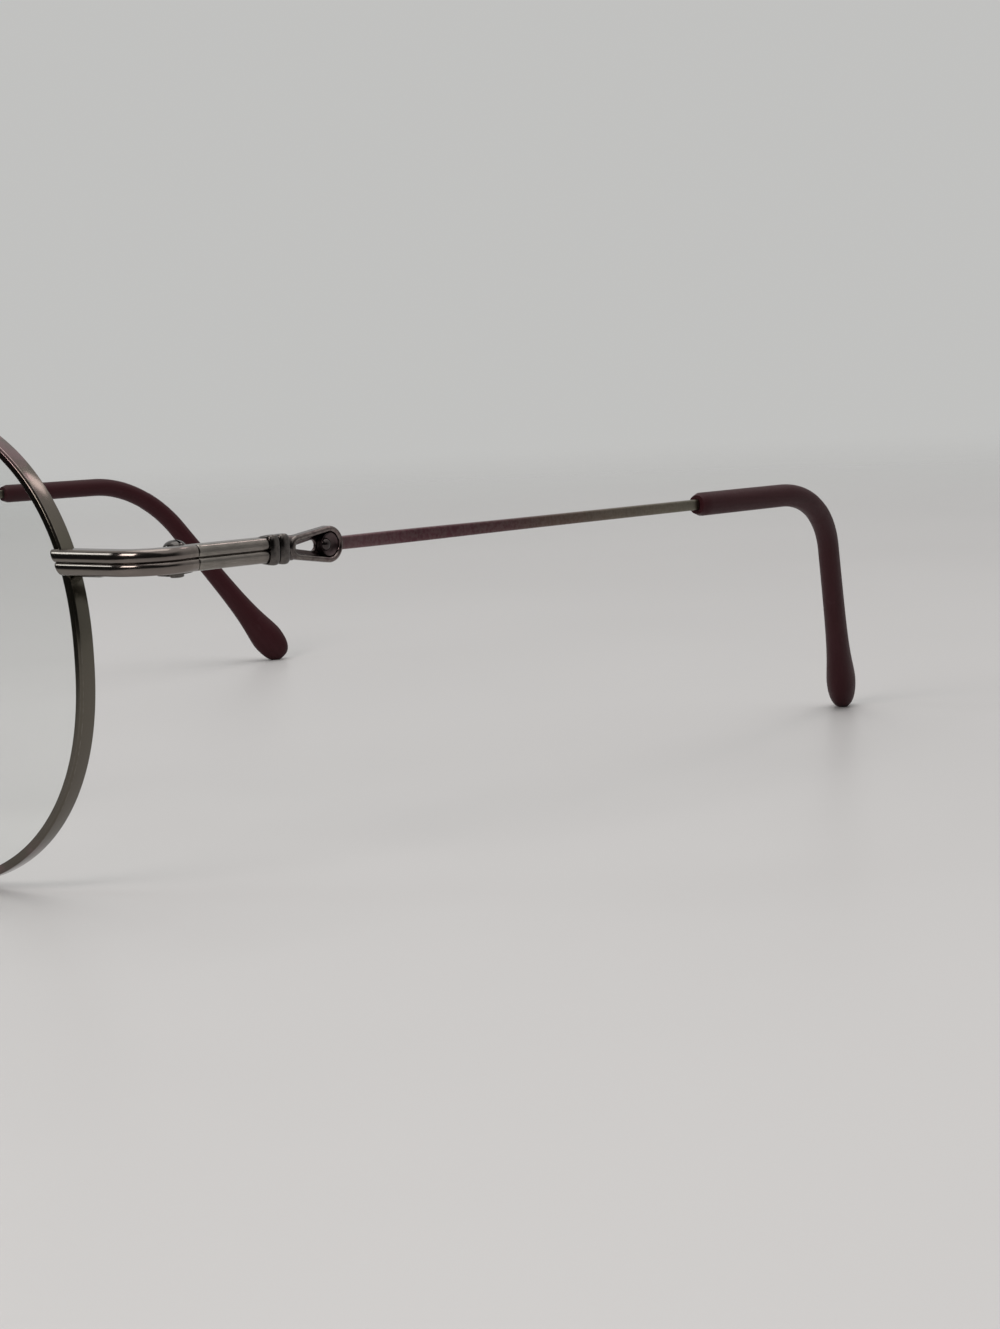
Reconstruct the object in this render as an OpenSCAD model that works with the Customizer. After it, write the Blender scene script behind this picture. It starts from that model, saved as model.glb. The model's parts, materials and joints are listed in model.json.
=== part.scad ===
// Round metal eyeglasses, standing on the rims and the temple tips.
// Millimetres. +X is the wearer's left, -Y is where the wearer looks, +Z is up.
// The origin is on the table, under the middle of the glasses' box.

/* [Front] */
// Outside width of one rim
rim_w = 46.9; // [40:0.1:56]
// Outside height of one rim
rim_h = 46.1; // [40:0.1:52]
// Roundness of the rim outline, 2 is an ellipse
rim_power = 2.2; // [2:0.01:2.6]
// Distance between the two rims at the nose
nose_gap = 19.4; // [17:0.1:24]
// Turn of each rim round the face, in degrees
wrap = 6; // [3:0.5:8]
// Depth of the rim wire from front to back
rim_depth = 1.9; // [1.7:0.05:2.6]
// Thickness of the rim wire across the lens
rim_t = 0.8; // [0.7:0.05:1.1]
// Depth of the groove that holds the lens
groove_depth = 0.35; // [0.2:0.05:0.45]
// Radius of the lens's front surface
lens_radius = 120; // [100:5:200]
// Thickness of the lens
lens_t = 1; // [0.9:0.05:1.2]

/* [Bridge] */
// Height of the bridge's ends above the middle of the rims
bridge_rise = 5.5; // [3:0.1:8]
// Height of the arch between its ends and its crown
bridge_arch = 3.4; // [1:0.1:5]
// Height of the bridge's twin bars
bridge_h = 2.3; // [1.8:0.05:3]
// Thickness of the bridge from front to back
bridge_t = 1.5; // [1.2:0.05:2]

/* [Nose pads] */
// Distance between the two pad screws
pad_spacing = 22; // [20:0.5:25]
// Distance of the pad screws behind the rims' back face
pad_back = 7; // [6.5:0.1:9]
// Height of the pad screws below the middle of the rims
pad_drop = 3.5; // [1:0.1:6]
// Height of a pad
pad_h = 13; // [11:0.1:15]
// Width of a pad
pad_w = 7; // [6:0.1:8]
// Thickness of a pad's soft body
pad_t = 2.2; // [1.8:0.05:2.6]
// Lean of the pads' tops towards the nose, in degrees
pad_lean = 16; // [5:1:22]
// Spread of the pads' back edges, in degrees
pad_splay = 26; // [10:1:35]
// Diameter of the pad arm wire
pad_wire_d = 0.95; // [0.8:0.05:1.2]

/* [End pieces and hinges] */
// Width over the outer faces at the hinges
hinge_width = 132.4; // [128:0.2:146]
// Distance of the joint behind the rims' back face at their middle
hinge_back = 7; // [6.5:0.1:10]
// Height of the joint above the middle of the rims
hinge_rise = 8.55; // [6:0.05:11]
// Height of the twin bars of end piece and temple
bar_h = 2.35; // [2:0.05:3]
// Thickness of the twin bars
bar_t = 1.75; // [1.5:0.05:2.2]
// Depth of the groove between the twin bars
lobe_d = 0.36; // [0.2:0.02:0.5]
// Depth that the end piece is let into the rim from its front face
end_sunk = 0.8; // [0.3:0.05:1.1]
// Radius of the end piece's bend on its inner face
end_bend_r = 3.2; // [2:0.1:4]
// Outside radius of the hinge barrels
barrel_r = 1.45; // [1.2:0.05:1.6]
// Height of each of the front hinge's two ears
ear_h = 0.8; // [0.7:0.05:1.2]
// Height of the temple's barrel between the ears
knuckle_h = 0.95; // [0.9:0.05:1.6]
// Distance from the joint's middle down to the middle of the barrels
hinge_drop = 0.5; // [0.3:0.05:0.6]
// Forward lean of the hinge screw's top, in degrees
hinge_lean = 2; // [1.5:0.5:5]
// Radius of the hinge screw's shank
hinge_screw_r = 0.6; // [0.5:0.05:0.75]

/* [Temples] */
// Distance from the joint to the bend over the ear
temple_bend = 101; // [95:0.5:108]
// Inward turn of the temple, in degrees
temple_in = 1.1; // [0:0.1:2]
// Downward slope of the temple, in degrees
temple_down = 1.15; // [0.5:0.05:2]
// Length of the twin bars of the temple's front casting
casting_l = 8.5; // [7:0.1:11]
// Height of the temple wire
wire_h = 1.2; // [1:0.05:1.5]
// Thickness of the temple wire
wire_t = 0.75; // [0.65:0.05:0.9]
// Radius of the casting's loop
loop_r = 1.72; // [1.6:0.02:2]
// Length of the casting's loop from the collars to its end
loop_l = 7; // [6.5:0.1:8]

/* [Temple tips] */
// Distance from the joint to the mouth of the tip
tip_start = 75; // [70:0.5:82]
// Height of the tip along the straight stretch
tip_h = 2.62; // [2.4:0.02:3.2]
// Thickness of the tip along the straight stretch
tip_t = 2.5; // [2:0.05:2.6]
// Radius of the bend over the ear
ear_bend_r = 16.5; // [9:0.5:20]
// Fall of the tip behind the bend, in degrees below level
tip_fall = 53; // [45:1:60]
// Inward turn of the tip behind the bend, in degrees
tip_in = 27; // [15:1:30]
// Width of the tip's rounded end
bulb_w = 5; // [4:0.1:6]
// Thickness of the tip's rounded end
bulb_t = 3.7; // [2.8:0.1:4]

/* [Hidden] */

// Colours
GUNMETAL = [0.42, 0.40, 0.38];
PLUM_METAL = [0.40, 0.29, 0.31];
PLUM_PLASTIC = [0.22, 0.13, 0.15];
STEEL = [0.60, 0.59, 0.57];
CLEAR = [0.86, 0.92, 0.94, 0.35];
SILICONE = [0.88, 0.88, 0.84, 0.7];

// Facets
rim_steps = 72;
arc_steps = 6;
bend_steps = 9;
section_steps = 16;
round_fn = 48;
sphere_fn = 240;

// Clearances
seat = 0.02;
run_gap = 0.05;
joint_gap = 0.08;
reach = 50;

// Rim
rim_bevel = 0.2;
rim_mid = rim_depth / 2;
groove_play = 0.35;
groove_w = lens_t + groove_play;
rim_x = (nose_gap + rim_w * cos(wrap)) / 2;
rim_z = rim_h / 2;
lens_edge = -rim_t + groove_depth - seat;
lens_reach = rim_w / 2 + lens_edge;
lens_sag = sag(lens_reach);
hinge_z = rim_z + hinge_rise;

// Rim lock, hidden behind the end piece
lock_gap = 0.1;
lock_top = 0.35 * bar_h;
lock_bottom = -0.6 * bar_h;
lock_split = (lock_top + lock_bottom) / 2;
lock_w = 4.6;
lock_in = 1;
rim_screw_out = 2;
lock_depth = 1.7;
rim_screw_r = 0.45;
rim_head_r = 0.7;
rim_head_h = 0.4;

// Hinge
hinge_half = hinge_width / 2;
stack_h = 2 * ear_h + knuckle_h + 2 * run_gap;
plate_t = 0.6;
plate_low = ear_h / 2;
plate_start = barrel_r + 2 * run_gap;
neck_l = plate_start + 0.65;
temple_leaf_l = 4.8;
side_gap = 0.08;
axis_in = bar_t + side_gap + barrel_r;
screw_head_r = 1.05;
screw_head_h = 0.7;
screw_slot_w = 0.25;
screw_slot_d = 0.22;
screw_end_r = 0.65;
screw_end_h = 0.25;

// Temple
collar_l = 1.2;
collar_gap = 0.06;
collar_over = 0.25;
collar_bead = [[0, 0.2], [0.12, 0.62], [0.3, 0.92], [0.5, 1], [0.7, 0.92], [0.88, 0.62], [1, 0.2]];
loop_start = casting_l + 2 * collar_l + collar_gap;
loop_end = loop_start + loop_l;
loop_front = 0.15;
loop_back = -1.1;
loop_neck_r = 1.15;
loop_wall = 0.55;
web_t = 0.4;
pocket_start = loop_start + loop_neck_r + 0.3;
stud_back = 0.4;
wire_x = loop_back + web_t + seat + wire_t / 2;
loop_mid = loop_end - loop_r;
stud_s = loop_mid - stud_back;
eye_r = loop_r - loop_wall - joint_gap - 0.3 * stud_back;
eye_t = 0.5 * wire_t;
rivet_r = 0.4;
stud_r = 0.62;
stud_h = 0.5;
window_small_r = 0.16;
window_large_r = 0.52;
window_wall = 0.33;
window_end = stud_s - rivet_r - seat - window_wall;

// Temple tip
core_end = 7;
core_gap = 0.03;
bulb_l = 13;
wire_power = 5;
tip_power = 2.2;
mouth_round = 0.5;

// Nose pad
core_r = 0.42;
pad_axis_x = pad_spacing / 2;
pad_axis_z = rim_z - pad_drop;
stem_w = 1.1;
stem_h = 1.8;
stem_out = 0.8;
stem_in = 1.0;
core_plate_t = 0.4;
core_plate_w = 3;
core_plate_h = 5;
cheek_gap = 0.1;
cheek_t = 0.35;
cheek_in = 0.7;
box_back = 1.05;
box_back_t = 0.35;
pad_head_r = 0.7;
pad_head_h = 0.35;
pad_screw_r = 0.38;
pad_power = 2.3;
pad_facets = 24;
pad_crown = [[0.82, 0], [0.97, 0.18], [1, 0.4], [0.93, 0.7], [0.72, 0.9], [0.35, 1]];

// Vector helpers
function unit(v) = v / norm(v);
function mix(a, b, t) = a + (b - a) * t;
function turned_z(p, a) = [p.x * cos(a) - p.y * sin(a), p.x * sin(a) + p.y * cos(a), p.z];
function turned_x(p, a) = [p.x, p.y * cos(a) - p.z * sin(a), p.y * sin(a) + p.z * cos(a)];
function turned_y(p, a) = [p.x * cos(a) + p.z * sin(a), p.y, p.z * cos(a) - p.x * sin(a)];
function power_of(v, e) = sign(v) * pow(abs(v), e);

// One ring of a section that stands on the path with outward axis n and height axis u
function ring_at(p, n, u, section) = [for (q = section) p + q[0] * n + q[1] * u];

// Rounded oval section, half sizes a and b
function oval(a, b, power, count) = [
    for (i = [0 : count - 1])
        let (t = 360 * i / count)
        [a * power_of(cos(t), 2 / power), b * power_of(sin(t), 2 / power)]
];

// Closed solid through a list of rings with the same number of points
module loft(rings) {
    n = len(rings[0]);
    last = len(rings) - 1;
    sides = [
        for (i = [0 : last - 1], j = [0 : n - 1])
            let (k = (j + 1) % n, a = i * n + j, b = i * n + k, c = b + n, d = a + n)
            each [[a, b, c], [a, c, d]]
    ];
    start_cap = [for (j = [n - 1 : -1 : 0]) j];
    end_cap = [for (j = [0 : n - 1]) last * n + j];
    polyhedron(points = [for (r = rings) each r], faces = concat([start_cap], sides, [end_cap]));
}

// Closed hoop through a list of rings, the last one joined to the first
module hoop(rings) {
    n = len(rings[0]);
    count = len(rings);
    sides = [
        for (i = [0 : count - 1], j = [0 : n - 1])
            let (k = (j + 1) % n, m = (i + 1) % count)
            each [[i * n + j, i * n + k, m * n + k], [i * n + j, m * n + k, m * n + j]]
    ];
    polyhedron(points = [for (r = rings) each r], faces = sides);
}

// Solid of revolution cap: a dome of base radius r and height h, standing on z = 0
module dome(r, h) {
    ball = (r * r + h * h) / (2 * h);
    intersection() {
        translate([0, 0, h - ball]) sphere(r = ball, $fn = round_fn);
        cylinder(r = 2 * r, h = h, $fn = round_fn);
    }
}

// Depth of the lens's dome at a radius
function sag(r) = lens_radius - sqrt(lens_radius * lens_radius - r * r);

// Rim outline: point, outward normal, in the rim's own plane
function rim_point(t) = [
    rim_w / 2 * power_of(cos(t), 2 / rim_power),
    0,
    rim_z + rim_h / 2 * power_of(sin(t), 2 / rim_power)
];
function rim_normal(t) =
    let (d = 0.01, v = rim_point(t + d) - rim_point(t - d))
    unit([v.z, 0, -v.x]);
// The rim follows the lens's dome: its distance behind the plane through its sides
function rim_bow(t) =
    let (q = rim_point(t) + lens_edge * rim_normal(t))
    sag(norm([q.x, q.z - rim_z])) - lens_sag;
function rim_ring(t, section) = ring_at(rim_point(t) + [0, rim_bow(t), 0], rim_normal(t), [0, -1, 0], section);
// Turn of the outline at a height above the rim's middle
function rim_turn(h) = asin(power_of(h / (rim_h / 2), rim_power / 2));

// The rim is split where the lock closes it
split_angle = rim_turn(hinge_rise + lock_split);
split_turn = asin(lock_gap / rim_h);
split_clear = 1.5;
rim_angles = concat(
    [split_angle + split_turn],
    [for (i = [1 : rim_steps + floor(rim_steps / 4)])
        let (t = i * 360 / rim_steps)
        if (t > split_angle + split_clear && t < split_angle + 360 - split_clear) t],
    [split_angle + 360 - split_turn]
);
rim_section = [
    [0, rim_bevel],
    [0, rim_depth - rim_bevel],
    [-rim_bevel, rim_depth],
    [-rim_t, rim_depth],
    [-rim_t, rim_mid + groove_w / 2],
    [-rim_t + groove_depth, rim_mid + groove_w / 2],
    [-rim_t + groove_depth, rim_mid - groove_w / 2],
    [-rim_t, rim_mid - groove_w / 2],
    [-rim_t, 0],
    [-rim_bevel, 0]
];
function rim_outline(out) = [
    for (i = [0 : rim_steps - 1])
        let (t = i * 360 / rim_steps, p = rim_point(t) + out * rim_normal(t))
        [p.x, p.z]
];

// Twin bars: flat back at 0, two flattened half rounds side by side at t
function bar_lobe(h, t, middle, first) = [
    for (i = [first : arc_steps])
        let (a = -90 + 180 * i / arc_steps)
        [t - lobe_d + lobe_d * cos(a), middle + h / 4 * sin(a)]
];
function bar_section(h, t) =
    concat([[0, -h / 2]], bar_lobe(h, t, -h / 4, 0), bar_lobe(h, t, h / 4, 1), [[0, h / 2]]);

// Bridge: the plan follows the rims' front faces, and the crown is arched
bridge_blend = 7;
bridge_over = 0.35;
bridge_end = nose_gap / 2 + rim_t + bridge_over;
bridge_steps = 28;
function soft_abs(x) = abs(x) > bridge_blend ? abs(x) : x * x / (2 * bridge_blend) + bridge_blend / 2;
function soft_sign(x) = abs(x) > bridge_blend ? sign(x) : x / bridge_blend;
function bridge_point(x) = [
    x,
    (soft_abs(x) - rim_x) * tan(wrap) + (rim_bow(rim_turn(bridge_rise)) - rim_depth) / cos(wrap),
    rim_z + bridge_rise + bridge_arch * (1 - pow(x / bridge_end, 2))
];
function bridge_ring(x) =
    let (
        slope = soft_sign(x) * tan(wrap),
        t = unit([1, slope, -2 * bridge_arch * x / (bridge_end * bridge_end)]),
        n = unit([slope, -1, 0])
    )
    ring_at(bridge_point(x), n, cross(n, t), bar_section(bridge_h, bridge_t));

// End piece: its inner face runs along the rim's front face, round the bend and back to the joint
function rim_place(p) = turned_z(p, wrap) + [rim_x, 0, 0];
joint_point = [hinge_half, hinge_back, hinge_z];
joint_inner = joint_point + turned_z([-bar_t, 0, 0], temple_in);
rim_in_x = rim_w / 2 * pow(1 - pow(hinge_rise / (rim_h / 2), rim_power), 1 / rim_power);
end_out = 0.15;
end_back = rim_bow(rim_turn(hinge_rise)) - rim_depth + end_sunk;
end_start = rim_place([rim_in_x - rim_t + end_out, end_back, hinge_z]);
front_dir = turned_z([1, 0, 0], wrap);
side_dir = turned_z([0, 1, 0], temple_in);
// Meeting point of the front line and the side line, worked out with the 2-D cross product
line_gap = joint_inner - end_start;
line_det = front_dir.x * side_dir.y - front_dir.y * side_dir.x;
front_run = (line_gap.x * side_dir.y - line_gap.y * side_dir.x) / line_det;
end_corner = end_start + front_dir * front_run;
turn_angle = 90 + temple_in - wrap;
bend_cut = end_bend_r * tan(turn_angle / 2);
bend_centre = end_corner - front_dir * bend_cut + turned_z([0, 1, 0], wrap) * end_bend_r;
// Each frame: point, turn, slant of the cut and share of the full thickness
end_slant = 0.45;
end_round = [[0, 0.78], [0.12, 0.92], [0.35, 1]];
end_level = 2.4;
end_frames = concat(
    [for (q = end_round) [end_start + front_dir * q[0], wrap, end_slant, q[1]]],
    [[end_start + front_dir * end_level, wrap, 0, 1]],
    [for (i = [0 : 2 * bend_steps])
        let (a = wrap + turn_angle * i / (2 * bend_steps))
        [bend_centre + turned_z([0, -end_bend_r, 0], a), a, 0, 1]],
    [[joint_inner - side_dir * joint_gap / 2, 90 + temple_in, 0, 1]]
);

// The front hinge's leaf runs a little way into the bend, and is cut to its curve
side_run = norm(joint_inner - end_corner) - bend_cut;
front_leaf_over = 1.3;
front_leaf_l = side_run + front_leaf_over;

// Temple, in a frame whose origin is the joint's outer face: x out, y back, z up
function hinge_place(p) = turned_z(p, temple_in) + joint_point;
function temple_place(p) = hinge_place(turned_x(p, -temple_down));
module at_hinge() {
    translate(joint_point) rotate([0, 0, temple_in]) children();
}
module at_temple() {
    at_hinge() rotate([-temple_down, 0, 0]) children();
}
module at_barrel() {
    at_hinge() translate([-axis_in, 0, 0]) rotate([hinge_lean, 0, 0]) translate([0, 0, -hinge_drop]) children();
}

// Centre line of wire and tip: straight, bent over the ear, then falling to the table
wire_dir = [0, 1, 0];
tip_dir = turned_z(turned_x(wire_dir, -tip_fall), tip_in);
ear_corner = [wire_x, temple_bend, 0];
ear_turn = acos(wire_dir * tip_dir);
ear_cut = ear_bend_r * tan(ear_turn / 2);
ear_side = unit(tip_dir - wire_dir * (wire_dir * tip_dir));
ear_start = ear_corner - wire_dir * ear_cut;
ear_centre = ear_start + ear_side * ear_bend_r;
function bend_frame(a) = [
    ear_centre + ear_bend_r * (wire_dir * sin(a) - ear_side * cos(a)),
    wire_dir * cos(a) + ear_side * sin(a)
];
function line_frame(s) = [[wire_x, s, 0], wire_dir];
function fall_frame(l) = [ear_corner + tip_dir * l, tip_dir];
function frame_ring(f, section) =
    let (n = unit(cross(f[1], [0, 0, 1])))
    ring_at(f[0], n, cross(n, f[1]), section);
bend_frames = [for (i = [0 : bend_steps]) bend_frame(ear_turn * i / bend_steps)];

// The rounded end: distance from the end and share of the full width
bulb_profile = [[1, 0], [0.8, 0.12], [0.6, 0.4], [0.46, 0.8], [0.36, 1], [0.22, 0.97], [0.12, 0.82], [0.04, 0.52],
                [0, 0.18]];
function tip_oval(share, big) =
    oval(mix(tip_t, bulb_t, big) / 2 * share, mix(tip_h, bulb_w, big) / 2 * share, tip_power, section_steps);
function bulb_rings(l) = [
    for (q = bulb_profile)
        let (past = q[0] < 0.36, big = past ? 1 : q[1], share = past ? q[1] : 1)
        frame_ring(fall_frame(l - bulb_l * q[0]), tip_oval(share, big))
];
function lowest(rings) = min([for (r = rings, p = r) temple_place(p).z]);

// The fall is as long as it takes for the end to touch the table
fall_guess = 33;
fall_l = fall_guess + lowest(bulb_rings(fall_guess)) / -(temple_place(tip_dir).z - joint_point.z);
tip_bulb = bulb_rings(fall_l);
mouth_rings = [
    for (q = [[0, 0.72], [0.3, 0.9], [1, 1]])
        frame_ring(line_frame(tip_start + mouth_round * q[0]), tip_oval(q[1], 0))
];
tip_outer = concat(mouth_rings, [for (f = bend_frames) frame_ring(f, tip_oval(1, 0))], tip_bulb);
function core_rings(grow) =
    let (section = oval(wire_t / 2 + grow, wire_h / 2 + grow, wire_power, section_steps))
    concat(
        [for (f = bend_frames) frame_ring(f, section)],
        [frame_ring(fall_frame(fall_l - core_end + grow), section)]
    );
tip_bore = concat(
    [frame_ring(line_frame(tip_start), oval(wire_t / 2 + core_gap, wire_h / 2 + core_gap, wire_power,
        section_steps))],
    core_rings(core_gap)
);
function backwards(list) = [for (i = [len(list) - 1 : -1 : 0]) list[i]];

// The box is centred on Y: from the bridge's or rims' foremost point to the tips' rearmost point
front_y = min(
    bridge_point(0).y - bridge_t,
    rim_place([-rim_w / 2, -rim_depth, 0]).y,
    -(rim_mid + lens_sag + lens_t / 2)
);
back_y = max([for (r = tip_bulb, p = r) temple_place(p).y]);
y_shift = -(front_y + back_y) / 2;

// Nose pad frame: origin on the pad screw, x away from the nose, y along the screw, z up the pad
pad_origin = [pad_axis_x, pad_back, pad_axis_z];
function pad_place(p) = turned_z(turned_y(p, -pad_lean), -pad_splay) + pad_origin;
arm_end = pad_place([box_back + box_back_t, 0, 0]);
arm_rise = 1.5;
arm_lead = 5;
arm_draw = 4;
arm_bow = rim_bow(rim_turn(arm_rise));
arm_points = [
    rim_place([-rim_w / 2 + rim_t / 2, arm_bow, rim_z + arm_rise]),
    rim_place([-rim_w / 2 + rim_t / 2, arm_bow + arm_lead, rim_z + arm_rise]),
    pad_place([box_back + box_back_t + arm_draw, 0, 0]),
    arm_end
];
arm_steps = 14;
arm_facets = 10;
function curve_point(c, t) =
    pow(1 - t, 3) * c[0] + 3 * pow(1 - t, 2) * t * c[1] + 3 * (1 - t) * t * t * c[2] + pow(t, 3) * c[3];
function curve_dir(c, t) = unit(
    pow(1 - t, 2) * (c[1] - c[0]) + 2 * (1 - t) * t * (c[2] - c[1]) + t * t * (c[3] - c[2])
);
module at_pad() {
    translate(pad_origin) rotate([0, -pad_lean, -pad_splay]) children();
}
module at_rim() {
    translate([rim_x, 0, 0]) rotate([0, 0, wrap]) children();
}

// One side of the glasses: the left as drawn, the right mirrored
module sided(side) {
    translate([0, y_shift, 0])
        if (side == "left") {
            children();
        } else {
            mirror([1, 0, 0]) children();
        }
}

module bridge() {
    color(GUNMETAL)
        translate([0, y_shift, 0])
            loft([for (i = [0 : bridge_steps]) bridge_ring(mix(-bridge_end, bridge_end, i / bridge_steps))]);
}

module rim() {
    color(GUNMETAL)
        at_rim()
            loft([for (t = rim_angles) rim_ring(t, rim_section)]);
}

// Standing prism of the rim's outline, grown outwards by out
module rim_prism(out, y0, y1) {
    translate([0, y1, 0])
        rotate([90, 0, 0])
            linear_extrude(y1 - y0)
                polygon(rim_outline(out));
}

module lens() {
    color(CLEAR)
        at_rim()
            intersection() {
                translate([0, lens_radius - rim_mid - lens_sag, rim_z])
                    difference() {
                        sphere(r = lens_radius + lens_t / 2, $fn = sphere_fn);
                        sphere(r = lens_radius - lens_t / 2, $fn = sphere_fn);
                    }
                rim_prism(lens_edge, -reach, reach);
            }
}

// Lock block between two heights above the joint's middle, behind the end piece
screw_x = rim_in_x + rim_screw_out;
screw_y = end_back + lock_depth / 2;
module lock_block(low, high) {
    difference() {
        translate([rim_in_x - lock_in, end_back, hinge_z + low])
            cube([lock_w, lock_depth, high - low]);
        rim_prism(seat, -reach, reach);
        translate([screw_x, screw_y, hinge_z + low - 1])
            cylinder(r = rim_screw_r, h = high - low + 2, $fn = round_fn);
        translate([screw_x, screw_y, hinge_z + lock_top - rim_head_h])
            cylinder(r = rim_head_r, h = rim_head_h + 1, $fn = round_fn);
    }
}

module lock_upper() {
    color(GUNMETAL)
        at_rim()
            lock_block(lock_split + lock_gap / 2, lock_top);
}

module lock_lower() {
    color(GUNMETAL)
        at_rim()
            lock_block(lock_bottom, lock_split - lock_gap / 2);
}

module rim_screw() {
    color(STEEL)
        at_rim()
            translate([screw_x, screw_y, hinge_z]) {
                difference() {
                    translate([0, 0, lock_top - rim_head_h])
                        cylinder(r = rim_head_r - seat, h = rim_head_h, $fn = round_fn);
                    translate([-rim_head_r, -screw_slot_w / 2, lock_top - screw_slot_d])
                        cube([2 * rim_head_r, screw_slot_w, screw_slot_d + 1]);
                }
                translate([0, 0, lock_bottom])
                    cylinder(r = rim_screw_r - seat, h = lock_top - rim_head_h - lock_bottom, $fn = round_fn);
            }
}

module end_piece() {
    color(GUNMETAL)
        difference() {
            loft([
                for (f = end_frames)
                    let (t = turned_z([1, 0, 0], f[1]), n = [t.y, -t.x, 0])
                    ring_at(f[0], n, [0, 0, 1] - f[2] * t, bar_section(bar_h, bar_t * f[3]))
            ]);
            // Notch for the rim
            at_rim() rim_prism(seat, -rim_depth + rim_bow(rim_turn(hinge_rise)), reach);
        }
}

// Everything ahead of the end piece's side and outside its bend
module past_bend() {
    difference() {
        at_hinge() translate([-reach / 2, -side_run - reach, -reach / 2]) cube(reach);
        translate(bend_centre) cylinder(r = end_bend_r - seat, h = 2 * reach, center = true, $fn = 2 * round_fn);
    }
}

// One hinge barrel and its neck to the plate, with a bore for the screw; back is the neck's direction
module hinge_leaf(z0, h, bore_r, back) {
    difference() {
        union() {
            translate([0, 0, z0]) cylinder(r = barrel_r, h = h, $fn = round_fn);
            translate([0, back ? 0 : -neck_l, z0]) cube([barrel_r, neck_l, h]);
        }
        translate([0, 0, z0 - 1]) cylinder(r = bore_r, h = h + 2, $fn = round_fn);
    }
}

// Mounting plate of a hinge half, soldered to the bars' inner face, clear of the other half's barrel
module hinge_plate(l, back) {
    translate([barrel_r - plate_t, back ? plate_start : -l, plate_low - stack_h / 2])
        cube([plate_t + side_gap, l - plate_start, stack_h - plate_low]);
}

module front_hinge() {
    color(GUNMETAL)
        difference() {
            at_barrel() {
                hinge_leaf(stack_h / 2 - ear_h, ear_h, hinge_screw_r + seat, false);
                hinge_leaf(-stack_h / 2, ear_h, hinge_screw_r + seat, false);
                hinge_plate(front_leaf_l, false);
            }
            past_bend();
        }
}

module temple_hinge() {
    color(GUNMETAL)
        at_barrel() {
            hinge_leaf(-knuckle_h / 2, knuckle_h, hinge_screw_r + run_gap, true);
            hinge_plate(temple_leaf_l, true);
        }
}

module hinge_screw() {
    color(STEEL)
        at_barrel() {
            difference() {
                translate([0, 0, stack_h / 2]) dome(screw_head_r, screw_head_h);
                translate([-screw_head_r, -screw_slot_w / 2, stack_h / 2 + screw_head_h - screw_slot_d])
                    cube([2 * screw_head_r, screw_slot_w, screw_slot_d + 1]);
            }
            translate([0, 0, -stack_h / 2]) cylinder(r = hinge_screw_r, h = stack_h, $fn = round_fn);
            translate([0, 0, -stack_h / 2 - screw_end_h]) cylinder(r = screw_end_r, h = screw_end_h, $fn = round_fn);
        }
}

// Prism of the twin bars between two places along the temple
module bars(s0, s1) {
    translate([-bar_t, s1, 0])
        rotate([90, 0, 0])
            linear_extrude(s1 - s0)
                polygon(bar_section(bar_h, bar_t));
}

// Drop outline along the temple: small circle r0 at s0, large circle r1 at s1, joined by their tangents
module drop(s0, r0, s1, r1) {
    lean = asin((r1 - r0) / (s1 - s0));
    c = cos(lean);
    s = sin(lean);
    translate([s0, 0]) circle(r = r0, $fn = round_fn);
    translate([s1, 0]) circle(r = r1, $fn = round_fn);
    polygon([[s0 - r0 * s, r0 * c], [s0 - r0 * s, -r0 * c], [s1 - r1 * s, -r1 * c], [s1 - r1 * s, r1 * c]]);
}

// Stands a flat shape drawn along the temple upright, between two places across it
module across(x0, x1) {
    translate([x0, 0, 0])
        rotate([90, 0, 90])
            linear_extrude(x1 - x0)
                children();
}

module temple_front() {
    color(GUNMETAL)
        at_temple()
            difference() {
                union() {
                    bars(joint_gap / 2, loop_start + loop_neck_r);
                    across(loop_back, loop_front) drop(loop_start + loop_neck_r, loop_neck_r, loop_mid, loop_r);
                }
                // Pocket of the loop
                across(loop_back + web_t, loop_front + 1)
                    drop(pocket_start, loop_neck_r - loop_wall, loop_mid, loop_r - loop_wall);
                // Window through the web
                across(loop_back - 1, loop_back + web_t + 1)
                    drop(pocket_start, window_small_r, window_end - window_large_r, window_large_r);
                // Hole of the rivet
                translate([loop_back - 1, stud_s, 0])
                    rotate([0, 90, 0])
                        cylinder(r = rivet_r + seat, h = web_t + 2, $fn = round_fn);
                // Slot that the wire leaves by
                translate([wire_x - wire_t / 2 - seat, stud_s, -wire_h / 2 - seat])
                    cube([wire_t + 2 * seat, stud_back + loop_r + 1, wire_h + 2 * seat]);
            }
}

// Ring of the twin bars' section, grown by over, at a place along the temple
function collar_ring(s, over) = ring_at([-bar_t - over, s, 0], [1, 0, 0], [0, 0, 1],
    bar_section(bar_h + 2 * over, bar_t + 2 * over));

module collar_rings() {
    color(GUNMETAL)
        at_temple()
            for (i = [0, 1]) {
                s = casting_l + i * (collar_l + collar_gap);
                hoop(concat(
                    [for (q = collar_bead) collar_ring(s + collar_l * q[0], collar_over * q[1])],
                    [for (t = [1, 0]) collar_ring(s + collar_l * t, 0)]
                ));
            }
}

module rivet() {
    color(PLUM_METAL)
        at_temple()
            translate([wire_x - wire_t / 2 + eye_t, stud_s, 0])
                rotate([0, 90, 0]) {
                    dome(stud_r, stud_h);
                    translate([0, 0, loop_back - wire_x + wire_t / 2 - eye_t])
                        cylinder(r = rivet_r, h = wire_x - wire_t / 2 + eye_t - loop_back, $fn = round_fn);
                }
}

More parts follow.
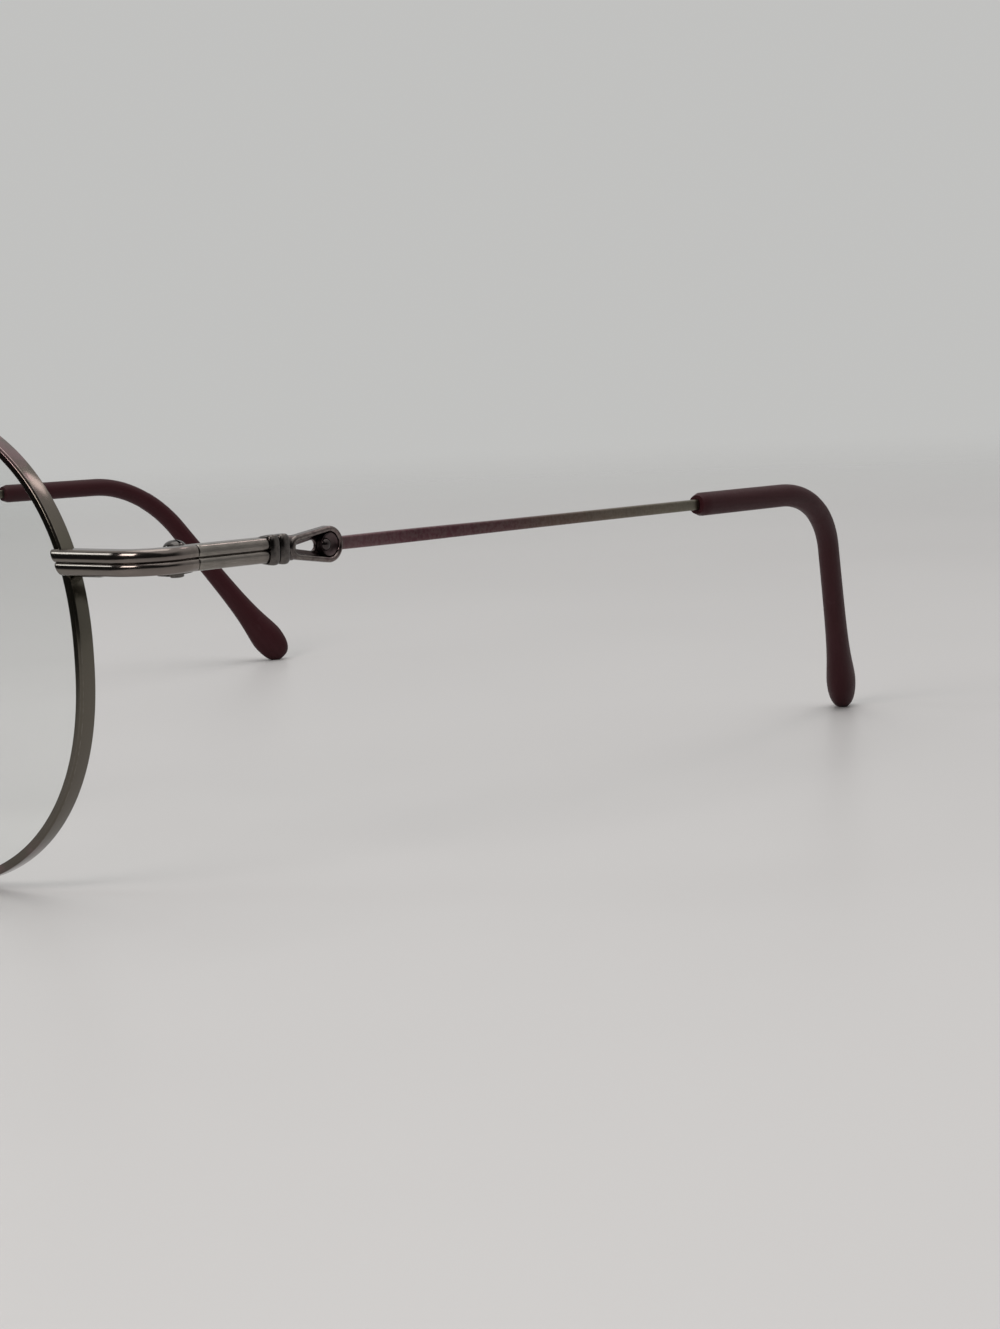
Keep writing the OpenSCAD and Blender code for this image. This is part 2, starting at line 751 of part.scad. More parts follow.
module temple_wire() {
    color(PLUM_METAL)
        at_temple()
            difference() {
                union() {
                    loft(concat([frame_ring(line_frame(stud_s + eye_r / 2), oval(wire_t / 2, wire_h / 2, wire_power,
                        section_steps))], core_rings(0)));
                    across(wire_x - wire_t / 2, wire_x - wire_t / 2 + eye_t)
                        translate([stud_s, 0]) circle(r = eye_r, $fn = round_fn);
                }
                translate([wire_x - wire_t, stud_s, 0])
                    rotate([0, 90, 0])
                        cylinder(r = rivet_r + seat, h = 2 * wire_t, $fn = round_fn);
                // Room for the rivet's head
                translate([wire_x - wire_t / 2 + eye_t, stud_s, 0])
                    rotate([0, 90, 0])
                        cylinder(r = stud_r + run_gap, h = wire_t, $fn = round_fn);
            }
}

module temple_tip() {
    color(PLUM_PLASTIC)
        at_temple()
            loft(concat(backwards(tip_bore), tip_outer));
}

module pad_arm() {
    section = oval(pad_wire_d / 2, pad_wire_d / 2, 2, arm_facets);
    color(GUNMETAL)
        loft([
            for (i = [0 : arm_steps])
                let (t = curve_dir(arm_points, i / arm_steps), n = unit(cross(t, [0, 0, 1])))
                ring_at(curve_point(arm_points, i / arm_steps), n, cross(n, t), section)
        ]);
}

// Bore along the pad screw
module pad_bore(r) {
    rotate([90, 0, 0]) cylinder(r = r, h = reach / 5, center = true, $fn = round_fn);
}

module pad_box() {
    half = stem_w / 2 + cheek_gap;
    color(GUNMETAL)
        at_pad()
            difference() {
                translate([-cheek_in, -half - cheek_t, -stem_h / 2])
                    cube([cheek_in + box_back + box_back_t, 2 * (half + cheek_t), stem_h]);
                translate([-cheek_in - 1, -half, -stem_h])
                    cube([cheek_in + 1 + box_back, 2 * half, 2 * stem_h]);
                pad_bore(pad_screw_r + seat);
            }
}

module pad_core() {
    color(SILICONE)
        at_pad()
            difference() {
                union() {
                    translate([-stem_in, -stem_w / 2, -stem_h / 2]) cube([stem_in + stem_out, stem_w, stem_h]);
                    translate([-stem_in - core_plate_t, -core_plate_w / 2, -core_plate_h / 2])
                        cube([core_plate_t, core_plate_w, core_plate_h]);
                }
                pad_bore(core_r);
            }
}

module nose_pad() {
    color(SILICONE)
        at_pad()
            loft([
                for (q = pad_crown)
                    ring_at([-stem_in - core_plate_t - pad_t * q[1], 0, 0], [0, 0, 1], [0, -1, 0],
                        oval(pad_h / 2 * q[0], pad_w / 2 * q[0], pad_power, pad_facets))
            ]);
}

module pad_screw() {
    end = stem_w / 2 + cheek_gap + cheek_t;
    color(STEEL)
        at_pad()
            rotate([-90, 0, 0]) {
                translate([0, 0, -end]) cylinder(r = pad_screw_r, h = 2 * end, $fn = round_fn);
                difference() {
                    translate([0, 0, end]) cylinder(r = pad_head_r, h = pad_head_h, $fn = round_fn);
                    translate([-pad_head_r, -screw_slot_w / 2, end + pad_head_h - screw_slot_d])
                        cube([2 * pad_head_r, screw_slot_w, screw_slot_d + 1]);
                }
            }
}

module side_part(side, part) {
    sided(side) children();
}

bridge();
for (side = ["left", "right"]) {
    side_part(side, "rim") rim();
    side_part(side, "lens") lens();
    side_part(side, "lock_upper") lock_upper();
    side_part(side, "lock_lower") lock_lower();
    side_part(side, "rim_screw") rim_screw();
    side_part(side, "end_piece") end_piece();
    side_part(side, "front_hinge") front_hinge();
    side_part(side, "hinge_screw") hinge_screw();
    side_part(side, "temple_hinge") temple_hinge();
    side_part(side, "temple_front") temple_front();
    side_part(side, "collar_rings") collar_rings();
    side_part(side, "rivet") rivet();
    side_part(side, "temple_wire") temple_wire();
    side_part(side, "temple_tip") temple_tip();
    side_part(side, "pad_arm") pad_arm();
    side_part(side, "pad_box") pad_box();
    side_part(side, "pad_core") pad_core();
    side_part(side, "nose_pad") nose_pad();
    side_part(side, "pad_screw") pad_screw();
}
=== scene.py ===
"""Round metal eyeglasses: the looks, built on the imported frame.

Millimetres inside, metres in every mesh. +X is the wearer's left, -Y is where the wearer looks, +Z is up.
Each sub-assembly is a class: its sizes are its fields, and its methods build the pieces and dress them.
"""

import json
import logging
import math
from dataclasses import dataclass, field, replace
from enum import Enum
from typing import Sequence

import bmesh
import bpy
import numpy as np
from mathutils import Matrix, Vector


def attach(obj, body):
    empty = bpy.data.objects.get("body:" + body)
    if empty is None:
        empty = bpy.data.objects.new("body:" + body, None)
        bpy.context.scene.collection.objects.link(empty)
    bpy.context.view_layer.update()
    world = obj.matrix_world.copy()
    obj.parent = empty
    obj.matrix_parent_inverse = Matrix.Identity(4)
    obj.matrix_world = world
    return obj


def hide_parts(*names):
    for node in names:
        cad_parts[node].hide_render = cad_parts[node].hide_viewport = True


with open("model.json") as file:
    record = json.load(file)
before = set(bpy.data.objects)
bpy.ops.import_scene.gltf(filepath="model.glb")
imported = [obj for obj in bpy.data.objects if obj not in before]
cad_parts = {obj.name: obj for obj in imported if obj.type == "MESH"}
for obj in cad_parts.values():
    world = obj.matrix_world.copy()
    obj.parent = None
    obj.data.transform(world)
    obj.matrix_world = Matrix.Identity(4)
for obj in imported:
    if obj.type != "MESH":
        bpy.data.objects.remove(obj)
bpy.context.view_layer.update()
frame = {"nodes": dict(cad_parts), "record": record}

LOG = logging.getLogger("eyeglasses")
MM = 0.001
# Edges that bend by more degrees than this are shown sharp
CREASE = 34.0
# What a relief between 0 and 1 stands for, in metres
BUMP_DEPTH = 0.00002
PATH_MAP = "path"
Colour = tuple[float, float, float]
Array = np.ndarray


class Side(Enum):
    """The wearer's left side is built as drawn, the right one is its mirror image."""

    LEFT = "left"
    RIGHT = "right"

    @property
    def sign(self) -> float:
        """Sign of X on this side."""
        return 1.0 if self is Side.LEFT else -1.0


class Grain(Enum):
    """What the fine polishing lines of a metal follow."""

    PATH = "path"
    OBJECT = "object"


class Cap(Enum):
    """How the open end of a skin is closed."""

    FLAT = "flat"
    POINT = "point"


def unit(v: Array) -> Array:
    """Each vector divided by its own length."""
    return v / np.linalg.norm(v, axis=-1, keepdims=True)


def ease(t: Array) -> Array:
    """Smooth step: 3 t squared minus 2 t cubed, held between 0 and 1."""
    t = np.clip(t, 0.0, 1.0)
    return t * t * (3.0 - 2.0 * t)


def turned(axis: str, degrees: float) -> Array:
    """Rotation matrix about one axis.

    Args:
        axis: "X", "Y" or "Z".
        degrees: Turn, right-handed.

    Returns:
        A 4 by 4 matrix.
    """
    return np.array(Matrix.Rotation(math.radians(degrees), 4, axis))


def moved(x: float, y: float, z: float) -> Array:
    """A 4 by 4 matrix that moves by x, y and z."""
    return np.array(Matrix.Translation((x, y, z)))


def placed(points: Array, matrix: Array) -> Array:
    """Points of any grid shape carried by a 4 by 4 matrix."""
    return points @ matrix[:3, :3].T + matrix[:3, 3]


def rounded(corners: Sequence[tuple[float, float]], radii: Sequence[float], steps: int = 4) -> Array:
    """Closed outline with softened corners.

    Each corner c is replaced by the curve (1-t)^2 a + 2t(1-t) c + t^2 b, where a and b lie on the two
    edges at the corner's own radius from c.

    Args:
        corners: Corner points in order.
        radii: Length cut from both edges at each corner.
        steps: Points per corner.

    Returns:
        Points, one row each.
    """
    c = np.array(corners, float)
    r = np.array(radii, float)[:, None]
    a = c + r * unit(np.roll(c, 1, axis=0) - c)
    b = c + r * unit(np.roll(c, -1, axis=0) - c)
    t = np.linspace(0.0, 1.0, steps)[None, :, None]
    curve = (1 - t) ** 2 * a[:, None] + 2 * t * (1 - t) * c[:, None] + t**2 * b[:, None]
    return curve.reshape(-1, 2)


def oval_at(turns: Array, half_a: float, half_b: float, power: float) -> Array:
    """Points of the oval |x/a|^p + |y/b|^p = 1: a |cos t|^(2/p) and b |sin t|^(2/p), with the signs of both.

    Args:
        turns: The turns t in radians.
        half_a: Half size a along x.
        half_b: Half size b along y.
        power: The power p: 2 is an ellipse, more is squarer.

    Returns:
        Points, one row each.
    """
    c, s = np.cos(turns), np.sin(turns)
    x = half_a * np.sign(c) * np.abs(c) ** (2 / power)
    y = half_b * np.sign(s) * np.abs(s) ** (2 / power)
    return np.stack([x, y], axis=1)


def oval(half_a: float, half_b: float, power: float, count: int) -> Array:
    """The closed oval of oval_at, with points at even turns."""
    return oval_at(np.linspace(0.0, 2 * np.pi, count, endpoint=False), half_a, half_b, power)


@dataclass(frozen=True)
class TwinBar:
    """Section of the twin bars in millimetres: a flat back at 0, and two flattened half rounds."""

    height: float
    thick: float
    end_thick: float
    count: int
    groove: float = 0.36
    fall: float = 0.16
    power: float = 2.3
    edge: float = 0.06
    valley: float = 0.004

    def section(self, lobe: float) -> Array:
        """One section, smaller where a bar is rounded off at its end.

        A crest point at the turn a is (t - g + g cos a, m + h / 4 sin a), with both cosine and sine raised to
        2 / p. A fall of f (2 z / h)^2 at the height z then turns both half rounds a little outward, away from
        each other. The thickness t goes from its share end_thick to the full one as the lobes grow.

        Args:
            lobe: Share of each half round's size: 1 along the bar, less at its end.

        Returns:
            Points (outward, upward), one row each.
        """
        thick = self.thick * (self.end_thick + (1 - self.end_thick) * lobe)
        r = self.height / 4
        k = min(r * lobe, r - self.valley)
        a = np.linspace(-np.pi / 2, np.pi / 2, self.count)
        c = np.cos(a) ** (2 / self.power)
        s = np.sign(np.sin(a)) * np.abs(np.sin(a)) ** (2 / self.power)
        low = np.stack([thick - self.groove + self.groove * lobe * c, -r + k * s], axis=1)
        high = low + [0.0, 2 * r]
        for half in (low, high):
            half[:, 0] -= self.fall * (2 * half[:, 1] / self.height) ** 2
        top, bottom = high[-1, 1], low[0, 1]
        base_top, base_bottom = np.array([0.0, top - self.edge]), np.array([0.0, bottom + self.edge])
        base = base_top + (base_bottom - base_top) * np.linspace(0.0, 1.0, 4)[:, None]
        return np.vstack([low, high, [[self.edge, top]], base, [[self.edge, bottom]]])

    def sections(self, lobes: Array) -> Array:
        """One section for each share in lobes."""
        return np.stack([self.section(k) for k in lobes])

def on_path(centres: Array, out: Array, up: Array, sections: Array) -> Array:
    """Grid of a section carried along a path: centre + a * out + b * up for each section point (a, b).

    Args:
        centres: Path points, one row each.
        out: Outward axis at each path point.
        up: Height axis at each path point.
        sections: One section for the whole path, or one per path point.

    Returns:
        A grid of path points by section points.
    """
    s = np.broadcast_to(sections, (len(centres), *np.shape(sections)[-2:]))
    return centres[:, None] + s[..., :1] * out[:, None] + s[..., 1:] * up[:, None]


def turned_profile(profile: Sequence[tuple[float, float]], count: int = 48) -> Array:
    """Surface of revolution about Z: (r cos t, r sin t, z) for each profile point (r, z).

    Args:
        profile: Radius and height pairs.
        count: Points round the axis.

    Returns:
        A grid of profile points by turns.
    """
    p = np.array(profile, float)
    t = np.linspace(0.0, 2 * np.pi, count, endpoint=False)
    return np.stack(
        [p[:, :1] * np.cos(t), p[:, :1] * np.sin(t), np.repeat(p[:, 1:], count, axis=1)], axis=2
    )


@dataclass
class Skin:
    """One surface: a grid of points in millimetres, closed round its columns and, as a hoop, along its rows.

    The faces join each point to its neighbours in both directions, and are turned so that the signed
    volume, the sum of a . (b x c) / 6 over all the triangles, is positive.
    """

    grid: Array
    hoop: bool = False
    first: Cap | None = Cap.FLAT
    last: Cap | None = Cap.FLAT
    wear: Array | float = 0.0

    def quads(self) -> tuple[Array, Array]:
        """Works out the grid's faces and their path coordinates.

        Returns:
            Point numbers of each face, and (along, around) in millimetres of each face's corners.
        """
        rows, cols = self.grid.shape[:2]
        i = np.arange(rows if self.hoop else rows - 1)[:, None]
        j = np.arange(cols)[None, :]
        i2, j2 = (i + 1) % rows, (j + 1) % cols
        faces = np.stack([i * cols + j, i * cols + j2, i2 * cols + j2, i2 * cols + j], axis=-1).reshape(-1, 4)
        along = self.lengths(0)
        around = self.lengths(1)
        u = np.stack(np.broadcast_arrays(along[i], along[i], along[i + 1], along[i + 1]), axis=-1)
        v = np.stack(np.broadcast_arrays(around[j], around[j + 1], around[j + 1], around[j]), axis=-1)
        u, v = np.broadcast_arrays(u, v)
        return faces, np.stack([u, v], axis=-1).reshape(-1, 4, 2)

    def lengths(self, axis: int) -> Array:
        """Mean distance from the grid's start along one axis, with the way back to the start added."""
        step = np.linalg.norm(np.roll(self.grid, -1, axis=axis) - self.grid, axis=2).mean(axis=1 - axis)
        return np.concatenate([[0.0], np.cumsum(step)])

    def built(self) -> tuple[Array, list[list[int]], Array]:
        """Closes the ends and turns every face outward.

        Returns:
            Points, faces as lists of point numbers, and the path coordinates of all face corners.
        """
        rows, cols = self.grid.shape[:2]
        points = self.grid.reshape(-1, 3)
        quads, path = self.quads()
        ends: list[list[int]] = []
        for cap, row, back in ((self.first, 0, True), (self.last, rows - 1, False)):
            if cap is None or self.hoop:
                continue
            ring = list(range(row * cols, (row + 1) * cols))
            ring = ring[::-1] if back else ring
            if cap is Cap.FLAT:
                ends.append(ring)
                continue
            points = np.vstack([points, self.grid[row].mean(axis=0)])
            ends += [[p, q, len(points) - 1] for p, q in zip(ring, ring[1:] + ring[:1])]
        faces = quads.tolist() + ends
        volume = self.signed(points, faces)
        path = path[:, ::-1] if volume < 0 else path
        corners = np.vstack([path.reshape(-1, 2), np.zeros((sum(map(len, ends)), 2))])
        if volume < 0:
            faces = [f[::-1] for f in faces]
        return points, faces, corners

    @staticmethod
    def signed(points: Array, faces: list[list[int]]) -> float:
        """Signed volume of a closed surface, each face taken as a fan of triangles.

        Args:
            points: The surface's points.
            faces: Point numbers of each face.

        Returns:
            The volume, negative where the faces look inward.
        """
        fans = np.array([(f[0], f[k], f[k + 1]) for f in faces for k in range(1, len(f) - 1)])
        centred = points - points.mean(axis=0)
        a, b, c = centred[fans[:, 0]], centred[fans[:, 1]], centred[fans[:, 2]]
        return float((a * np.cross(b, c)).sum() / 6)


def body_of(node: str) -> str:
    """Name of the body that carries a node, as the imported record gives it."""
    groups = frame["record"]["behaviour"]["bodies"]
    return next(body for body, members in groups.items() if node in members)


def set_up(piece: bpy.types.Object, node: str, finish: "Finish") -> bpy.types.Object:
    """Gives a piece its finish and its body, and hides the node that it stands for.

    Args:
        piece: The object, at the origin.
        node: The CAD node that the piece stands for.
        finish: What the piece is made of.

    Returns:
        The same object.
    """
    piece.data.materials.clear()
    piece.data.materials.append(finish.material())
    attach(piece, body_of(node))
    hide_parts(node)
    LOG.info("%s: %d faces, %s, on %s", piece.name, len(piece.data.polygons), finish.name, body_of(node))
    return piece


def in_scene(name: str, data: bpy.types.ID) -> bpy.types.Object:
    """Makes an object of some data and puts it in the scene.

    Args:
        name: The object's name.
        data: Its mesh, light or camera.

    Returns:
        The new object.
    """
    made = bpy.data.objects.new(name, data)
    bpy.context.scene.collection.objects.link(made)
    return made


def shade(mesh: bpy.types.Mesh, sharp: float) -> None:
    """Shades a mesh smooth, apart from edges that bend by more degrees than sharp."""
    mesh.polygons.foreach_set("use_smooth", np.ones(len(mesh.polygons), bool))
    mesh.set_sharp_from_angle(angle=math.radians(sharp))


def make_piece(
    name: str,
    node: str,
    skins: Sequence[Skin],
    finish: "Finish",
    side: Side = Side.LEFT,
    sharp: float = CREASE,
) -> bpy.types.Object:
    """Makes one object of several closed skins.

    Args:
        name: The object's name.
        node: The CAD node that it stands for.
        skins: Its surfaces, in millimetres.
        finish: What it is made of.
        side: Mirrors the skins for the right side.
        sharp: Edges that bend by more degrees than this are shown sharp.

    Returns:
        The new object, riding on the node's body.
    """
    points, faces, corners, wear = [], [], [], []
    start = 0
    for skin in skins:
        p, f, c = replace(skin, grid=skin.grid * [side.sign, 1.0, 1.0]).built()
        worn = np.zeros(len(p))
        worn[: skin.grid[..., 0].size] = np.broadcast_to(skin.wear, skin.grid.shape[:2]).ravel()
        points.append(p * MM)
        faces += [[k + start for k in face] for face in f]
        corners.append(c)
        wear.append(worn)
        start += len(p)
    mesh = bpy.data.meshes.new(name)
    mesh.from_pydata(np.vstack(points).tolist(), [], faces)
    path_map = mesh.uv_layers.new(name=PATH_MAP)
    path_map.uv.foreach_set("vector", np.vstack(corners).astype(np.float32).ravel())
    rubbed = mesh.attributes.new("wear", "FLOAT", "POINT")
    rubbed.data.foreach_set("value", np.concatenate(wear).astype(np.float32))
    shade(mesh, sharp)
    mesh.update()
    return set_up(in_scene(name, mesh), node, finish)


def softened(
    name: str, node: str, finish: "Finish", width: float, flat: float = 1.5, sharp: float = 40.0
) -> bpy.types.Object:
    """Copies a CAD node, joins its loose triangles into faces and rounds its edges.

    Args:
        name: The new object's name.
        node: The CAD node.
        finish: What it is made of.
        width: Width of the rounding in millimetres.
        flat: Triangles that bend by fewer degrees than this become one face.
        sharp: Edges that bend by more degrees than this are rounded.

    Returns:
        The new object, which stands for the node.
    """
    mesh = frame["nodes"][node].data.copy()
    mesh.name = name
    work = bmesh.new()
    work.from_mesh(mesh)
    bmesh.ops.remove_doubles(work, verts=work.verts, dist=1e-6)
    parts = {"verts": work.verts, "edges": work.edges}
    bmesh.ops.dissolve_limit(work, angle_limit=math.radians(flat), use_dissolve_boundaries=False, **parts)
    work.to_mesh(mesh)
    work.free()
    shade(mesh, sharp)
    piece = in_scene(name, mesh)
    bevel = piece.modifiers.new("rounding", "BEVEL")
    bevel.width = width * MM
    bevel.segments = 2
    bevel.limit_method = "ANGLE"
    bevel.angle_limit = math.radians(sharp)
    bevel.harden_normals = True
    return set_up(piece, node, finish)


class Nodes:
    """Adds shader nodes to one tree in short calls."""

    def __init__(self, tree: bpy.types.NodeTree) -> None:
        """Empties the tree.

        Args:
            tree: A material's or a world's node tree.
        """
        tree.nodes.clear()
        self.tree = tree

    def add(self, kind: str, inputs: dict | None = None, **settings: object) -> bpy.types.Node:
        """Adds one node.

        Args:
            kind: Blender's name for the node, without "ShaderNode".
            inputs: Values or output sockets by input name or number.
            **settings: Properties of the node.

        Returns:
            The node.
        """
        node = self.tree.nodes.new("ShaderNode" + kind)
        for key, value in settings.items():
            setattr(node, key, value)
        for key, value in (inputs or {}).items():
            if isinstance(value, bpy.types.NodeSocket):
                self.tree.links.new(value, node.inputs[key])
            else:
                node.inputs[key].default_value = value
        return node

    def place(self) -> bpy.types.NodeSocket:
        """The point's place in the object's own frame."""
        return self.add("TexCoord").outputs["Object"]

    def path(self) -> bpy.types.NodeSocket:
        """The point's place along and around its piece, in millimetres."""
        return self.add("UVMap", uv_map=PATH_MAP).outputs[0]

    def maths(self, operation: str, a: object, b: object = 0.0, clamp: bool = False) -> bpy.types.NodeSocket:
        """One step of arithmetic on two numbers or sockets."""
        return self.add("Math", {0: a, 1: b}, operation=operation, use_clamp=clamp).outputs[0]

    def along(self, where: object, way: Sequence[float]) -> bpy.types.NodeSocket:
        """How far a place lies along a direction."""
        return self.add("VectorMath", {0: where, 1: tuple(way)}, operation="DOT_PRODUCT").outputs["Value"]

    def ranged(
        self, value: object, low: float, high: float, to_low: float = 0.0, to_high: float = 1.0
    ) -> bpy.types.NodeSocket:
        """Carries a value smoothly from one range to another."""
        inputs = {"Value": value, "From Min": low, "From Max": high, "To Min": to_low, "To Max": to_high}
        return self.add("MapRange", inputs, interpolation_type="SMOOTHSTEP").outputs[0]

    def blend(self, share: object, a: object, b: object) -> bpy.types.NodeSocket:
        """Mixes two colours by a share, a colour being a socket or three numbers."""
        first, second = (c if isinstance(c, bpy.types.NodeSocket) else (*c, 1.0) for c in (a, b))
        return self.add("Mix", {0: share, 6: first, 7: second}, data_type="RGBA").outputs[2]

    def noise(
        self, where: object, scale: float, detail: float = 4.0, roughness: float = 0.55
    ) -> bpy.types.NodeSocket:
        """Noise between 0 and 1 at a place."""
        inputs = {"Vector": where, "Scale": scale, "Detail": detail, "Roughness": roughness}
        return self.add("TexNoise", inputs).outputs[0]

    def stretched(self, where: object, scale: Sequence[float]) -> bpy.types.NodeSocket:
        """Coordinates scaled by their own number on each axis."""
        return self.add("Mapping", {"Vector": where, "Scale": tuple(scale)}).outputs[0]

    def bump(self, height: object, strength: float, depth: float = BUMP_DEPTH) -> bpy.types.NodeSocket:
        """Normals tilted by a height between 0 and 1, which stands for a depth in metres."""
        return self.add("Bump", {"Height": height, "Strength": strength, "Distance": depth}).outputs[0]

    def ramp(self, value: object, stops: Sequence[tuple[float, Colour]]) -> bpy.types.NodeSocket:
        """Colour that passes through the stops as the value goes from 0 to 1.

        Args:
            value: Where the colour is read.
            stops: Place and colour of each stop.

        Returns:
            The colour's socket.
        """
        node = self.add("ValToRGB", {"Fac": value})
        ramp = node.color_ramp
        ramp.interpolation = "EASE"
        while len(ramp.elements) < len(stops):
            ramp.elements.new(0.5)
        for element, (place, colour) in zip(ramp.elements, stops):
            element.position = place
            element.color = (*colour, 1.0)
        return node.outputs[0]

    def faded(self, share: object, shader: bpy.types.NodeSocket) -> bpy.types.NodeSocket:
        """A shader that turns see-through as the share goes to 1."""
        clear = self.add("BsdfTransparent").outputs[0]
        return self.add("MixShader", {0: share, 1: shader, 2: clear}).outputs[0]

    def principled(self, inputs: dict) -> bpy.types.NodeSocket:
        """The principled shader with the given inputs."""
        return self.add("BsdfPrincipled", inputs).outputs[0]

    def surface(self, shader: bpy.types.NodeSocket) -> None:
        """Ends a material in its shader."""
        self.add("OutputMaterial", {"Surface": shader})

class Finish:
    """What a piece is made of. The material is made once and shared."""

    name: str

    def material(self) -> bpy.types.Material:
        """Gives the finish's material, and makes it at the first call.

        Returns:
            The one material of this name.
        """
        known = bpy.data.materials.get(self.name)
        if known:
            return known
        made = bpy.data.materials.new(self.name)
        made.use_nodes = True
        self.draw(Nodes(made.node_tree))
        return made

    def draw(self, n: Nodes) -> None:
        """Adds the finish's nodes to an empty tree."""
        raise NotImplementedError


@dataclass(frozen=True)
class PlatedMetal(Finish):
    """Plated, lacquered wire metal: a slow change of tint along one axis, polishing lines and worn edges."""

    name: str
    stops: tuple[tuple[float, Colour], ...]
    axis: str = "Z"
    low: float = 0.0
    high: float = 46.0
    roughness: float = 0.27
    spread: float = 0.10
    lines: float = 0.16
    mottle: float = 0.20
    relief: float = 0.12
    lacquer: float = 0.20
    lacquer_roughness: float = 0.12
    specks: float = 0.08
    drift: float = 0.35
    stain: Colour = (0.035, 0.03, 0.026)
    rubbed: Colour = (0.33, 0.30, 0.265)
    grain: Grain = Grain.PATH
    cloud_scale: float = 260.0
    speck_scale: float = 2400.0
    path_stretch: tuple[float, float, float] = (0.35, 9.0, 1.0)
    object_stretch: tuple[float, float, float] = (2600.0, 700.0, 5200.0)

    def polishing_lines(self, n: Nodes, place: bpy.types.NodeSocket) -> bpy.types.NodeSocket:
        """Noise stretched along the wire or, on small parts, along the object's own axes."""
        if self.grain is Grain.PATH:
            return n.noise(n.stretched(n.path(), self.path_stretch), 2.4, 6.0, 0.65)
        return n.noise(n.stretched(place, self.object_stretch), 1.0, 5.0, 0.6)

    def draw(self, n: Nodes) -> None:
        """Adds the nodes: ramp along the axis, cloudy mottling, fine lines along the wire, wear on edges."""
        place = n.place()
        apart = n.add("SeparateXYZ", {0: place}).outputs[self.axis]
        ends = {"Value": apart, "From Min": self.low * MM, "From Max": self.high * MM}
        share = n.add("MapRange", ends).outputs[0]
        cloud = n.noise(place, self.cloud_scale, 5.0, 0.6)
        drift = n.maths("MULTIPLY", n.maths("SUBTRACT", cloud, 0.5), self.drift)
        tint = n.ramp(n.maths("ADD", share, drift, clamp=True), self.stops)
        lines = self.polishing_lines(n, place)
        specks = n.noise(place, self.speck_scale, 3.0, 0.7)
        dark = n.blend(n.ranged(lines, 0.3, 0.7), tint, (0.0, 0.0, 0.0))
        base = n.blend(self.lines, tint, dark)
        spotted = n.blend(n.ranged(cloud, 0.42, 0.68, 0.0, self.mottle), base, self.stain)
        wear = n.add("Attribute", attribute_name="wear").outputs["Fac"]
        rubbed = n.maths("MULTIPLY", wear, n.ranged(specks, 0.36, 0.62), clamp=True)
        smooth, rough = self.roughness - self.spread / 2, self.roughness + self.spread / 2
        dull = n.maths(
            "ADD", n.ranged(lines, 0.25, 0.75, smooth, rough), n.ranged(specks, 0.55, 0.8, 0.0, self.specks)
        )
        height = n.maths("ADD", lines, n.maths("MULTIPLY", specks, 3.0 * self.specks))
        shader = n.principled(
            {
                "Base Color": n.blend(rubbed, spotted, self.rubbed),
                "Metallic": 1.0,
                "Roughness": dull,
                "Normal": n.bump(height, self.relief),
                "Coat Weight": self.lacquer,
                "Coat Roughness": self.lacquer_roughness,
            }
        )
        n.surface(shader)


@dataclass(frozen=True)
class MattePlastic(Finish):
    """Moulded plum plastic: faint flow marks, a fine satin grain and lighter rubbed spots."""

    name: str = "plum_matte_plastic"
    colour: Colour = (0.0370, 0.0080, 0.0105)
    pale: Colour = (0.048, 0.0125, 0.0165)
    rubbed: Colour = (0.064, 0.028, 0.033)
    roughness: float = 0.48
    shine: float = 0.15
    flow_stretch: tuple[float, float, float] = (0.12, 1.4, 1.0)
    grain_scale: float = 5200.0
    rub_scale: float = 620.0
    grain_depth: float = 0.00003

    def draw(self, n: Nodes) -> None:
        """Adds the nodes: flow marks stretched along the sleeve, grain in the roughness and bump."""
        place = n.place()
        flow = n.noise(n.stretched(n.path(), self.flow_stretch), 1.6, 5.0, 0.6)
        grain = n.noise(place, self.grain_scale, 3.0, 0.7)
        rub = n.noise(place, self.rub_scale, 6.0, 0.62)
        base = n.blend(n.ranged(flow, 0.35, 0.7, 0.0, 0.5), self.colour, self.pale)
        colour = n.blend(n.ranged(rub, 0.58, 0.78, 0.0, 0.45), base, self.rubbed)
        satin = n.ranged(grain, 0.3, 0.7, self.roughness - 0.05, self.roughness + 0.09)
        rough = n.maths("ADD", satin, n.ranged(rub, 0.5, 0.8, 0.0, 0.10))
        height = n.maths("ADD", n.maths("MULTIPLY", grain, 0.5), flow)
        normal = n.bump(height, 0.18, self.grain_depth)
        skin = {"Roughness": rough, "Normal": normal, "Specular IOR Level": self.shine}
        n.surface(n.principled({"Base Color": colour, **skin}))


@dataclass(frozen=True)
class ClearLens(Finish):
    """Polished clear lens: nearly everything passes, and a faint mirror grows towards the edge."""

    name: str = "clear_lens"
    tint: Colour = (0.975, 0.982, 0.978)
    facing_mirror: float = 0.04
    edge_mirror: float = 0.8

    def draw(self, n: Nodes) -> None:
        """Adds the nodes: a tinted see-through shader and a polished mirror, mixed by m0 + m1 slant^5."""
        smear = n.noise(n.place(), 90.0, 4.0, 0.5)
        slant = n.add("LayerWeight", {"Blend": 0.5}).outputs["Facing"]
        grown = n.maths("MULTIPLY", n.maths("POWER", slant, 5.0), self.edge_mirror)
        share = n.maths("ADD", grown, self.facing_mirror)
        clear = n.add("BsdfTransparent", {"Color": (*self.tint, 1.0)}).outputs[0]
        rough = n.ranged(smear, 0.45, 0.75, 0.015, 0.06)
        mirror = n.add("BsdfGlossy", {"Color": (1.0, 1.0, 1.0, 1.0), "Roughness": rough}).outputs[0]
        n.surface(n.add("MixShader", {0: share, 1: clear, 2: mirror}).outputs[0])


